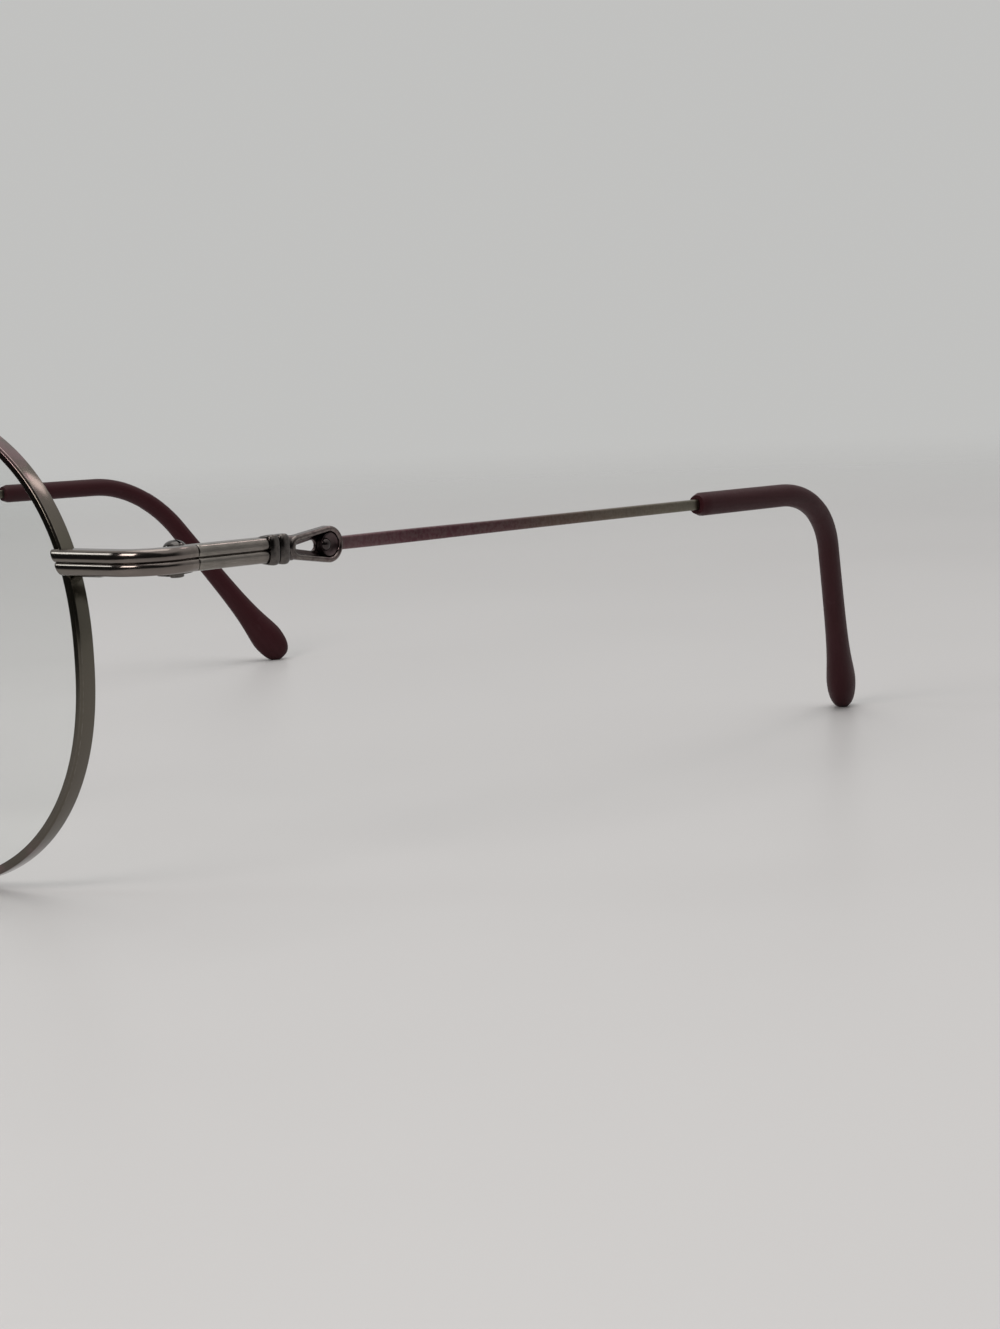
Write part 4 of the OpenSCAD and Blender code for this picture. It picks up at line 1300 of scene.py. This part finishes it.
@dataclass
class TempleFront(Sided):
    """The casting at the temple's front: twin bars, two collar beads, the loop's window, and the stud."""

    casting_l: float = 8.5
    collar_l: float = 1.2
    collar_gap: float = 0.06
    collar_over: float = 0.25
    collar_root: float = 0.03
    collar_crest: float = 0.5
    collar_fall: float = 0.55
    neck_r: float = 1.15
    neck_in: float = 0.7
    loop_r: float = 1.72
    loop_l: float = 7.0
    wall: float = 0.55
    web_t: float = 0.4
    loop_front: float = 0.15
    loop_back: float = -1.1
    loop_soft: float = 0.34
    loop_wear: float = 0.30
    pocket_in: float = 0.3
    window_small: float = 0.16
    window_large: float = 0.52
    window_wall: float = 0.33
    fit: float = 0.02
    rivet_r: float = 0.4
    stud_r: float = 0.62
    stud_h: float = 0.5
    stud_foot: float = 0.03
    stud_back: float = 0.4
    wire_t: float = 0.75

    @property
    def loop_start(self) -> float:
        """Where the loop leaves the collars."""
        return self.casting_l + 2 * self.collar_l + self.collar_gap

    @property
    def loop_mid(self) -> float:
        """Middle of the loop's large circle along the temple."""
        return self.loop_start + self.loop_l - self.loop_r

    @property
    def stud_s(self) -> float:
        """Place of the stud along the temple."""
        return self.loop_mid - self.stud_back

    @property
    def eye_t(self) -> float:
        """Thickness of the wire's eye."""
        return self.wire_t / 2

    @property
    def wire_x(self) -> float:
        """Distance of the wire's middle from the outer face."""
        return self.loop_back + self.web_t + self.fit + self.wire_t / 2

    def across(self, x: float, s: float) -> Array:
        """Matrix to what is turned about the stud's direction: z outward, from the depth x at the place s."""
        return LAYOUT.temple @ moved(x, s, 0.0) @ turned("Y", 90)

    def bars(self) -> Skin:
        """Straight twin bars from the joint into the loop's neck, their crest at the outer face.

        Returns:
            The bars, a little smaller and worn at the joint's edge.
        """
        start = LAYOUT.joint_gap / 2
        s = np.array([start, start + 0.05, 0.4, 2.0, 4.0, 6.0, 8.0, 9.5, self.loop_start + self.neck_in])
        lobes = np.array([LAYOUT.bar_end] + [1.0] * (len(s) - 1))
        wear = np.array([0.45, 0.45, 0.1] + [0.0] * (len(s) - 3))
        centres = np.stack([np.full_like(s, -LAYOUT.bar_t), s, np.zeros_like(s)], axis=1)
        out, up = np.tile([1.0, 0.0, 0.0], (len(s), 1)), np.tile([0.0, 0.0, 1.0], (len(s), 1))
        grid = on_path(centres, out, up, LAYOUT.bars().sections(lobes))
        return Skin(placed(grid, LAYOUT.temple), wear=wear[:, None])

    def drop(self, s0: float, r0: float, s1: float, r1: float, x: float) -> Array:
        """Closed drop outline: a small circle and a large one, joined by their tangents.

        The point with the normal angle a is s + r (cos a, sin a). The circle changes where the tangents
        touch, at a = 90 degrees plus asin((r1 - r0) / (s1 - s0)).

        Args:
            s0: Place of the small circle along the temple.
            r0: Its radius.
            s1: Place of the large circle.
            r1: Its radius.
            x: Distance of the outline from the outer face.

        Returns:
            Points, one row each.
        """
        touch = np.pi / 2 + math.asin((r1 - r0) / (s1 - s0))
        big = np.linspace(-touch, touch, 44)
        small = np.linspace(touch, 2 * np.pi - touch, 18)
        large = np.stack([s1 + r1 * np.cos(big), r1 * np.sin(big)], axis=1)
        little = np.stack([s0 + r0 * np.cos(small), r0 * np.sin(small)], axis=1)
        t = np.linspace(0.0, 1.0, 12)[1:-1, None]
        over = large[-1] + (little[0] - large[-1]) * t
        under = little[-1] + (large[0] - little[-1]) * t
        flat = np.vstack([large, over, little, under])
        return np.stack([np.full(len(flat), x), flat[:, 0], flat[:, 1]], axis=1)

    def loop(self) -> Skin:
        """The loop as a closed hoop of drops, each one drawn in by d at the depth x.

        The profile (d, x) goes up the outside, over a rounded crest, down the inside, across the web and
        through the window.

        Returns:
            The loop, worn on its crest.
        """
        back, front, soft = self.loop_back, self.loop_front, self.loop_soft
        crest = self.wall / 2 - 0.005
        s0, s1 = self.loop_start + self.neck_r, self.loop_mid
        floor = back + self.web_t
        turn = np.linspace(0.0, np.pi / 2, 8)
        rows = [(soft * (1 - math.sin(a)), back + soft * (1 - math.cos(a))) for a in turn]
        rows += [(0.0, front - crest - 0.15)]
        rows += [(crest * (1 - math.cos(a)), front - crest + crest * math.sin(a)) for a in turn]
        rows += [(self.wall - crest * (1 - math.sin(a)), front - crest + crest * math.cos(a)) for a in turn]
        rows += [(self.wall, floor + 0.14), (self.wall + 0.04, floor + 0.04)]
        walls = [
            self.drop(s0 + self.pocket_in * min(d / self.wall, 1.0), self.neck_r - d, s1, self.loop_r - d, x)
            for d, x in rows
        ]
        end = self.stud_s - self.rivet_r - self.fit - self.window_wall - self.window_large
        edges = ((0.06, floor), (0.02, floor - 0.02), (0.0, floor - 0.06), (0.0, back + 0.05), (0.04, back))
        small, large = self.window_small, self.window_large
        window = [self.drop(s0 + self.pocket_in, small + g, end, large + g, x) for g, x in edges]
        grid = np.stack(walls + window)
        wear = np.zeros((len(grid), 1))
        wear[len(turn) + 3 : 3 * len(turn) - 2] = self.loop_wear
        return Skin(placed(grid, LAYOUT.temple), hoop=True, wear=wear)

    def collars(self) -> list[Skin]:
        """Two plain beads round both bars, grown by g + o (1 - (2q - 1)^2)^0.425 over each bead's length q.

        Returns:
            The beads, each one closed along the bars.
        """
        q = 0.5 - 0.5 * np.cos(np.linspace(0.0, np.pi, 19))
        round_off = np.sqrt(np.clip(1 - (2 * q - 1) ** 2, 0.0, 1.0)) ** 0.85
        grown = self.collar_root + (self.collar_over - self.collar_root) * round_off
        skins = []
        for i in (0, 1):
            s = self.casting_l + i * (self.collar_l + self.collar_gap) + self.collar_l * q
            rings = [self.collar_ring(place, over) for place, over in zip(s, grown)]
            rings += [self.collar_ring(s[-1], 0.0), self.collar_ring(s[0], 0.0)]
            skins.append(Skin(placed(np.stack(rings), LAYOUT.temple), hoop=True, wear=0.15))
        return skins

    def collar_ring(self, s: float, over: float) -> Array:
        """One ring round the bars, grown on all sides.

        The crest is t - c + c cos(b) out at the height h sin(b), both raised to 2 / 3, and the back falls
        away as (t - c)(1 - sin f) at the height h - d (1 - cos f).

        Args:
            s: Place along the temple.
            over: How far the ring stands over the bars.

        Returns:
            Points, one row each.
        """
        half, thick, crest = LAYOUT.bar_h / 2 + over, LAYOUT.bar_t + 2 * over, self.collar_crest
        b = np.linspace(-np.pi / 2, np.pi / 2, 33)
        out = thick - crest + crest * np.cos(b) ** (2 / 3)
        front = np.stack([out, half * np.sign(b) * np.abs(np.sin(b)) ** (2 / 3)], axis=1)
        f = np.linspace(0.0, np.pi / 2, 8)[1:]
        fall = min(self.collar_fall, 2 * over + 0.05)
        back = np.stack([(thick - crest) * (1 - np.sin(f)), half - fall * (1 - np.cos(f))], axis=1)
        ring = np.vstack([front, back, back[::-1] * [1.0, -1.0]])
        return np.stack([-LAYOUT.bar_t - over + ring[:, 0], np.full(len(ring), s), ring[:, 1]], axis=1)

    def stud(self) -> list[Skin]:
        """The rivet: a ball-like dome r = R cos(a)^0.9, z = f + (h - f) sin a, over a shank through the web.

        Returns:
            Dome and shank.
        """
        base = self.wire_x - self.wire_t / 2 + self.eye_t
        depth, r = self.loop_back - base, self.rivet_r
        a = np.linspace(0.0, np.pi / 2 * 0.985, 16)
        dome = [(0.02, 0.0), (self.stud_r * 0.9, 0.0)]
        height = self.stud_foot + (self.stud_h - self.stud_foot) * np.sin(a)
        dome += list(zip(self.stud_r * np.cos(a) ** 0.9, height))
        shank = [(0.02, depth), (r - 0.07, depth), (r, depth + 0.06), (r, 0.0), (0.02, 0.0)]
        grids = (placed(turned_profile(p, 56), self.across(base, self.stud_s)) for p in (dome, shank))
        return [Skin(grid, first=Cap.POINT, last=Cap.POINT) for grid in grids]

    def build(self) -> None:
        """Builds and dresses the casting, its collars and stud, and the temple's half of the hinge."""
        self.piece("temple_casting", "temple_front", [self.bars(), self.loop()], TEMPLE_FINISH)
        self.piece("collar_beads", "collar_rings", self.collars(), COLLAR_FINISH, 50)
        self.piece("loop_stud", "rivet", self.stud(), STUD_FINISH, 50)
        self.from_cad("hinge_tongue", "temple_hinge", SMALL_FINISH, 0.09)


@dataclass
class TempleWire(Sided):
    """The flattened temple wire with its eye, and the plastic sleeve bent over the ear."""

    casting: TempleFront
    wire_h: float = 1.2
    wire_power: float = 4.0
    swell: float = 0.12
    swell_at: float = 26.0
    swell_l: float = 12.0
    eye_gap: float = 0.05
    bend: float = 101.0
    fall: float = 53.0
    tip_in: float = 27.0
    ear_r: float = 16.5
    fall_l: float = 36.1206
    core_end: float = 7.0
    tip_start: float = 75.0
    tip_h: float = 2.62
    tip_t: float = 2.5
    tip_power: float = 2.2
    bore_gap: float = 0.03
    mouth_share: float = 0.80
    mouth_l: float = 0.55
    bulb_w: float = 5.0
    bulb_t: float = 3.7
    bulb_l: float = 13.0
    bulb_flat: float = 4.0
    bulb_ease: float = 4.5
    bulb_power: float = 1.8
    cap_share: float = 0.36
    cap_power: float = 2.6
    cap_least: float = 0.06
    off_bulb: float = 99.0
    steps: int = 40

    def line(self, start: float, fall: float, gap: float) -> tuple[Array, Array]:
        """Middle line of wire and sleeve: straight back, a bend of radius r over the ear, then the fall.

        In the bend the point is centre + r (w sin a - n cos a), with w the straight direction and n the side
        to which the line turns.

        Args:
            start: First place along the temple.
            fall: Length from the bend's corner to the last point.
            gap: Distance between points on the straight parts.

        Returns:
            Points and directions, in the temple's frame.
        """
        w = np.array([0.0, 1.0, 0.0])
        tip = (turned("Z", self.tip_in) @ turned("X", -self.fall))[:3, :3] @ w
        corner = np.array([self.casting.wire_x, self.bend, 0.0])
        angle = math.acos(float(w @ tip))
        cut = self.ear_r * math.tan(angle / 2)
        n = unit(tip - w * float(w @ tip))
        first = corner - w * cut
        centre = first + n * self.ear_r
        s = np.linspace(start, self.bend - cut, max(2, int((self.bend - cut - start) / gap)), endpoint=False)
        straight = np.stack([np.full_like(s, corner[0]), s, np.zeros_like(s)], axis=1)
        a = np.linspace(0.0, angle, self.steps)[:, None]
        arc = centre + self.ear_r * (w * np.sin(a) - n * np.cos(a))
        arc_dir = w * np.cos(a) + n * np.sin(a)
        f = np.linspace(cut, fall, max(2, int((fall - cut) / gap)))[1:, None]
        points = np.vstack([straight, arc, corner + tip * f])
        ways = np.vstack([np.tile(w, (len(s), 1)), arc_dir, np.tile(tip, (len(f), 1))])
        return points, ways

    def carried(self, points: Array, ways: Array, sections: Array) -> Array:
        """Sections on a line, with the level cross direction outward."""
        out = unit(np.cross(ways, [0.0, 0.0, 1.0]))
        return placed(on_path(points, out, np.cross(out, ways), sections), LAYOUT.temple)

    def wire(self) -> list[Skin]:
        """The wire and its eye.

        The wire is a little taller behind the loop: h + w exp(-((s - m) / l)^2). The eye is a disc that fills
        the loop's bowl, with a raised rim.

        Returns:
            The wire's skin and the eye's.
        """
        eye_r = self.casting.loop_r - self.casting.wall - self.eye_gap
        start = self.casting.loop_mid + eye_r
        points, ways = self.line(start, self.fall_l - self.core_end, 1.0)
        tall = self.wire_h + self.swell * np.exp(-(((points[:, 1] - self.swell_at) / self.swell_l) ** 2))
        shape = oval(0.5, 0.5, self.wire_power, 28)
        sections = shape[None] * np.stack([np.full_like(tall, self.casting.wire_t), tall], axis=1)[:, None]
        high = self.casting.eye_t
        disc = [(0.02, 0.0), (eye_r - 0.06, 0.0), (eye_r, 0.06), (eye_r, high + 0.20)]
        disc += [(eye_r - 0.03, high + 0.26), (0.90 * eye_r, high + 0.19), (0.78 * eye_r, high + 0.09)]
        disc += [(0.62 * eye_r, high + 0.02), (0.02, high - 0.04)]
        place = self.casting.across(self.casting.wire_x - self.casting.wire_t / 2, self.casting.loop_mid)
        return [
            Skin(self.carried(points, ways, sections), wear=0.12),
            Skin(placed(turned_profile(disc, 56), place), first=Cap.POINT, last=Cap.POINT, wear=0.05),
        ]

    def sleeve_line(self) -> tuple[Array, Array, Array]:
        """The sleeve's middle line, with closer points where the end is rounded off.

        Returns:
            Points, directions, and each point's distance from the end, which is off_bulb before the bend.
        """
        points, ways = self.line(self.tip_start, self.fall_l, 0.8)
        way, cap_l = ways[-1], self.cap_share * self.bulb_l
        last = points[-1] - way * cap_l
        before_bend = points[:, 1] < self.bend
        kept = before_bend | ((points - last) @ way < 0)
        close = np.sin(np.linspace(0.0, 1.0, 26)[1:, None] * np.pi / 2) * cap_l
        points = np.vstack([points[kept], last + way * close])
        ways = np.vstack([ways[kept], np.tile(way, (len(close), 1))])
        away = np.where(points[:, 1] < self.bend, self.off_bulb, (last + way * cap_l - points) @ way)
        return points, ways, away

    def sleeve(self) -> Skin:
        """The sleeve: an oval section with a rounded mouth and a flattened, rounded bulb at its end.

        Past the bend the half sizes grow to the bulb's by the share 1 / (1 + ((d - f) / e)^b) at the distance
        d from the end. At the share q of the closing cap's length they shrink by (1 - (1 - q)^p)^(1 / p).

        Returns:
            The sleeve, from the bottom of its bore over the mouth to the closed end.
        """
        points, ways, away = self.sleeve_line()
        big = 1 / (1 + (np.clip(away - self.bulb_flat, 0.0, None) / self.bulb_ease) ** self.bulb_power)
        closing = 1 - np.clip(away / (self.cap_share * self.bulb_l), 0.0, 1.0)
        cap = np.maximum((1 - closing**self.cap_power) ** (1 / self.cap_power), self.cap_least)
        inside = 1 - np.clip((points[:, 1] - self.tip_start) / self.mouth_l, 0, 1)
        mouth = self.mouth_share + (1 - self.mouth_share) * np.sqrt(1 - inside**2)
        size = cap * np.where(points[:, 2] < -1.0, 1.0, mouth) / 2
        thick = (self.tip_t + (self.bulb_t - self.tip_t) * big) * size
        tall = (self.tip_h + (self.bulb_w - self.tip_h) * big) * size
        shape = oval(1.0, 1.0, self.tip_power, 40)
        outer = self.carried(points, ways, shape[None] * np.stack([thick, tall], axis=1)[:, None])
        half_t, half_h = self.casting.wire_t / 2 + self.bore_gap, self.wire_h / 2 + self.bore_gap
        bore = oval(half_t, half_h, self.wire_power, 40)
        depth = self.tip_start + np.array([1.5, 0.02])
        floor = np.stack([np.full(2, self.casting.wire_x), depth, np.zeros(2)], axis=1)
        hole = self.carried(floor, np.tile([0.0, 1.0, 0.0], (2, 1)), bore)
        return Skin(np.concatenate([hole, outer]), last=Cap.POINT)

    def build(self) -> None:
        """Builds and dresses the wire and the sleeve."""
        self.piece("temple_strip", "temple_wire", self.wire(), WIRE_FINISH, 40)
        self.piece("ear_sleeve", "temple_tip", [self.sleeve()], PLASTIC_FINISH, 60)


@dataclass
class NosePad(Sided):
    """One nose pad on its bent arm, with the box, the core and the cross screw."""

    spacing: float = 22.0
    back: float = 7.0
    drop: float = 3.5
    height: float = 13.0
    width: float = 7.0
    thick: float = 2.2
    lean: float = 16.0
    splay: float = 26.0
    wire_d: float = 0.95
    fillet: float = 0.35
    fillet_fall: float = 14.0
    power: float = 2.3
    face_share: float = 0.80
    face_depth: float = 0.35
    stem: float = 1.4
    box_end: float = 1.4
    rise: float = 1.5
    lead: float = 5.0
    draw: float = 4.0

    @property
    def place(self) -> Array:
        """Matrix from the pad's frame: x away from the nose, y along the screw, z up the pad."""
        middle = moved(self.spacing / 2, self.back + LAYOUT.shift_y, LAYOUT.rim_z - self.drop)
        return middle @ turned("Z", -self.splay) @ turned("Y", -self.lean)

    def arm(self) -> Skin:
        """Round wire along the curve (1-t)^3 a + 3(1-t)^2 t b + 3(1-t) t^2 c + t^3 d, with a solder fillet.

        Returns:
            The arm, from the rim to the box.
        """
        bow = LAYOUT.bow_at(self.rise)
        root = np.array([-LAYOUT.rim_w / 2 + LAYOUT.rim_t / 2, bow, LAYOUT.rim_z + self.rise])
        a, b = placed(np.array([root, root + [0.0, self.lead, 0.0]]), LAYOUT.rim)
        c, d = placed(np.array([[self.box_end + self.draw, 0.0, 0.0], [self.box_end, 0.0, 0.0]]), self.place)
        t = np.linspace(0.0, 1.0, 44)[:, None]
        points = (1 - t) ** 3 * a + 3 * (1 - t) ** 2 * t * b + 3 * (1 - t) * t**2 * c + t**3 * d
        ways = unit((1 - t) ** 2 * (b - a) + 2 * (1 - t) * t * (c - b) + t**2 * (d - c))
        out = unit(np.cross(ways, [0.0, 0.0, 1.0]))
        ring = oval(self.wire_d / 2, self.wire_d / 2, 2.0, 20)
        swell = 1 + self.fillet * np.exp(-t * self.fillet_fall)
        return Skin(on_path(points, out, np.cross(out, ways), ring[None] * swell[:, :, None]), wear=0.1)

    def cushion(self) -> Skin:
        """The soft pad: ovals stacked through its thickness, with a crowned face and a rounded edge.

        Up to a = 90 degrees the share is f + (1 - f) sin a at the depth e (1 - cos a), and then sin(a)^0.45
        at the depth e - (1 - e) cos a.

        Returns:
            The pad, closed in the middle of its back.
        """
        a = np.linspace(0.0, np.pi, 22)
        f, e = self.face_share, self.face_depth
        share = np.where(a < np.pi / 2, f + (1 - f) * np.sin(a), np.sin(a) ** 0.45)
        depth = np.where(a < np.pi / 2, e * (1 - np.cos(a)), e + (1 - e) * np.sin(a - np.pi / 2))
        ring = oval(self.height / 2, self.width / 2, self.power, 56)
        size = np.maximum(share, 0.03)[:, None]
        x = np.broadcast_to((-self.stem - self.thick * depth)[:, None], (len(a), len(ring)))
        grid = np.stack([x, -ring[:, 1] * size, ring[:, 0] * size], axis=2)
        return Skin(placed(grid, self.place), last=Cap.POINT)

    def build(self) -> None:
        """Builds and dresses the arm, the pad, its core, box and screw."""
        self.piece("arm_wire", "pad_arm", [self.arm()], SMALL_FINISH)
        self.piece("pad_cushion", "nose_pad", [self.cushion()], PAD_FINISH, 60)
        self.from_cad("pad_holder", "pad_box", SMALL_FINISH, 0.05)
        self.from_cad("pad_stem", "pad_core", PAD_FINISH, 0.07)
        self.from_cad("pad_pin", "pad_screw", SCREW_FINISH, 0.04)


@dataclass(frozen=True)
class Lamp:
    """One soft rectangular lamp: its middle, the point that it faces and its size in metres, and its watts."""

    name: str
    place: tuple[float, float, float]
    aim: tuple[float, float, float]
    size: tuple[float, float]
    power: float
    colour: Colour

    def build(self) -> None:
        """Makes the lamp, unseen by the camera, and turns it to its aim."""
        data = bpy.data.lights.new(self.name, "AREA")
        data.shape = "RECTANGLE"
        data.size, data.size_y = self.size
        data.energy = self.power
        data.color = self.colour
        lamp = in_scene(self.name, data)
        ahead = Vector(self.aim) - Vector(self.place)
        lamp.rotation_mode = "QUATERNION"
        lamp.rotation_quaternion = ahead.to_track_quat("-Z", "Y")
        lamp.location = self.place
        lamp.visible_camera = False


LAMPS = (
    Lamp("ceiling_softbox", (0.02, 0.06, 0.75), (0.0, 0.0, 0.0), (0.7, 0.45), 1.70, (1.0, 0.98, 0.965)),
    Lamp("front_softbox", (0.096, -0.60, 0.42), (0.06, -0.06, 0.03), (0.34, 0.22), 1.8, (1.0, 0.93, 0.90)),
    Lamp("rear_spot", (0.11, 0.36, 0.47), (0.05, -0.06, 0.02), (0.09, 0.09), 0.10, (1.0, 0.84, 0.86)),
    Lamp("window", (-0.57, -0.55, 0.48), (0.06, -0.06, 0.03), (0.24, 0.20), 0.75, (0.95, 1.0, 1.0)),
)


@dataclass
class Studio:
    """Pale floor, soft light and the photograph's camera."""

    floor_r: float = 6.0
    background: Colour = (0.535, 0.535, 0.525)
    room: Colour = (1.0, 0.985, 0.97)
    card_h: float = 0.0006
    azimuth: float = 42.009
    pitch: float = 7.91
    roll: float = -2.642
    focal_px: float = 2332.577
    long_side_px: float = 1329.0
    sensor: float = 36.0
    position: tuple[float, float, float] = (222.819, -188.551, 49.41)

    def camera(self) -> None:
        """Makes the camera: right and up come from its turn and pitch, and the roll turns both."""
        az, e, r = (math.radians(v) for v in (self.azimuth, self.pitch, self.roll))
        ahead = np.array([-math.sin(az) * math.cos(e), math.cos(az) * math.cos(e), -math.sin(e)])
        right = np.array([math.cos(az), math.sin(az), 0.0])
        up = np.cross(right, ahead)
        right, up = right * math.cos(r) + up * math.sin(r), -right * math.sin(r) + up * math.cos(r)
        matrix = np.eye(4)
        matrix[:3] = np.column_stack([right, up, -ahead, np.array(self.position) * MM])
        data = bpy.data.cameras.new("photo_camera")
        data.sensor_width = self.sensor
        data.lens = self.focal_px * self.sensor / self.long_side_px
        data.clip_start, data.clip_end = 0.01, 50.0
        camera = in_scene("photo_camera", data)
        camera.matrix_world = Matrix(matrix.tolist())
        bpy.context.scene.camera = camera

    def sheet(self, name: str, points: Array, faces: list[list[int]], finish: Finish) -> bpy.types.Object:
        """Makes a flat sheet of the stage.

        Args:
            name: The sheet's name.
            points: Its points in metres.
            faces: Point numbers of each face.
            finish: What it is made of.

        Returns:
            The sheet.
        """
        mesh = bpy.data.meshes.new(name)
        mesh.from_pydata(points.tolist(), [], faces)
        mesh.update()
        mesh.materials.append(finish.material())
        sheet = in_scene(name, mesh)
        return sheet

    def floor(self) -> None:
        """Makes the floor: rings of points r (cos t, sin t) round a middle point, with r growing by a factor."""
        radii = np.geomspace(0.02, self.floor_r, 40)[:, None]
        t = np.linspace(0.0, 2 * np.pi, 96, endpoint=False)
        grid = np.stack([radii * np.cos(t), radii * np.sin(t), np.zeros((len(radii), len(t)))], axis=2)
        points = np.vstack([grid.reshape(-1, 3), [[0.0, 0.0, 0.0]]])
        quads, _ = Skin(grid).quads()
        centre = [[(j + 1) % len(t), j, len(points) - 1] for j in range(len(t))]
        self.sheet("studio_floor", points, quads[:, ::-1].tolist() + centre, FLOOR_FINISH)

    def dark_card(self) -> None:
        """Makes a black card in front of the glasses, which only reflections show."""
        corners = np.array([(-0.55, -0.95), (0.12, -0.95), (0.12, -0.30), (-0.02, -0.125), (-0.55, -0.125)])
        points = np.column_stack([corners, np.full(len(corners), self.card_h)])
        card = self.sheet("dark_card", points, [list(range(len(corners)))], CARD_FINISH)
        card.visible_camera = False
        card.visible_shadow = False
        card.visible_diffuse = False

    def world(self) -> None:
        """Makes the surroundings: even pale grey to look at, and for light a bright ceiling over a dim room.

        By direction d the light is mix(horizon, ceiling, smooth step of d.z). Low directions to the
        photographer's side and in front of the glasses, where -d.y is large, are dark, and in front the dark
        reaches higher up.
        """
        world = bpy.data.worlds.new("studio")
        world.use_nodes = True
        bpy.context.scene.world = world
        n = Nodes(world.node_tree)
        way = n.add("TexCoord").outputs["Generated"]
        apart = n.add("SeparateXYZ", {0: way}).outputs
        az = math.radians(self.azimuth)
        beside = n.along(way, (math.sin(az), -math.cos(az), 0.0))
        sky = n.ranged(apart["Z"], 0.10, 0.75, 0.40, 0.78)
        dim_side = n.ranged(beside, -0.10, 0.45, 1.0, 0.07)
        dim_front = n.ranged(apart["Y"], -0.50, -0.10, 0.07, 1.0)
        near = n.ranged(apart["Y"], -0.50, 0.0, 0.50, 0.0)
        open_sky = n.ranged(n.maths("SUBTRACT", apart["Z"], near), 0.18, 0.62)
        lit = n.maths("MAXIMUM", n.maths("MINIMUM", dim_side, dim_front), open_sky)
        light = n.maths("MULTIPLY", sky, lit)
        room = n.add("Background", {"Color": (*self.room, 1.0), "Strength": light}).outputs[0]
        plain = n.add("Background", {"Color": (*self.background, 1.0), "Strength": 1.0}).outputs[0]
        seen = n.add("LightPath").outputs["Is Camera Ray"]
        n.add("OutputWorld", {"Surface": n.add("MixShader", {0: seen, 1: room, 2: plain}).outputs[0]})

    def build(self) -> None:
        """Builds floor, card, world, lamps and camera, and has colours shown as they are."""
        self.floor()
        self.dark_card()
        self.world()
        for lamp in LAMPS:
            lamp.build()
        self.camera()
        bpy.context.scene.view_settings.view_transform = "Standard"
        LOG.info("studio: floor, card, world, %d lamps and camera", len(LAMPS))


@dataclass
class Eyeglasses:
    """The whole pair: the bridge, and for each side the rim, end piece, screw, temple and nose pad."""

    bridge: Bridge = field(default_factory=Bridge)

    def build(self) -> None:
        """Builds the bridge, then each side from the front to the tip."""
        self.bridge.build()
        for side in Side:
            casting = TempleFront(side)
            before = (RimAndLens(side), EndPiece(side), SlottedScrew(side))
            for part in (*before, casting, TempleWire(side, casting), NosePad(side)):
                part.build()


def main() -> None:
    """Builds the glasses and the studio."""
    logging.basicConfig(level=logging.INFO, format="%(name)s %(message)s")
    Eyeglasses().build()
    Studio().build()


if __name__ == "__main__":
    main()
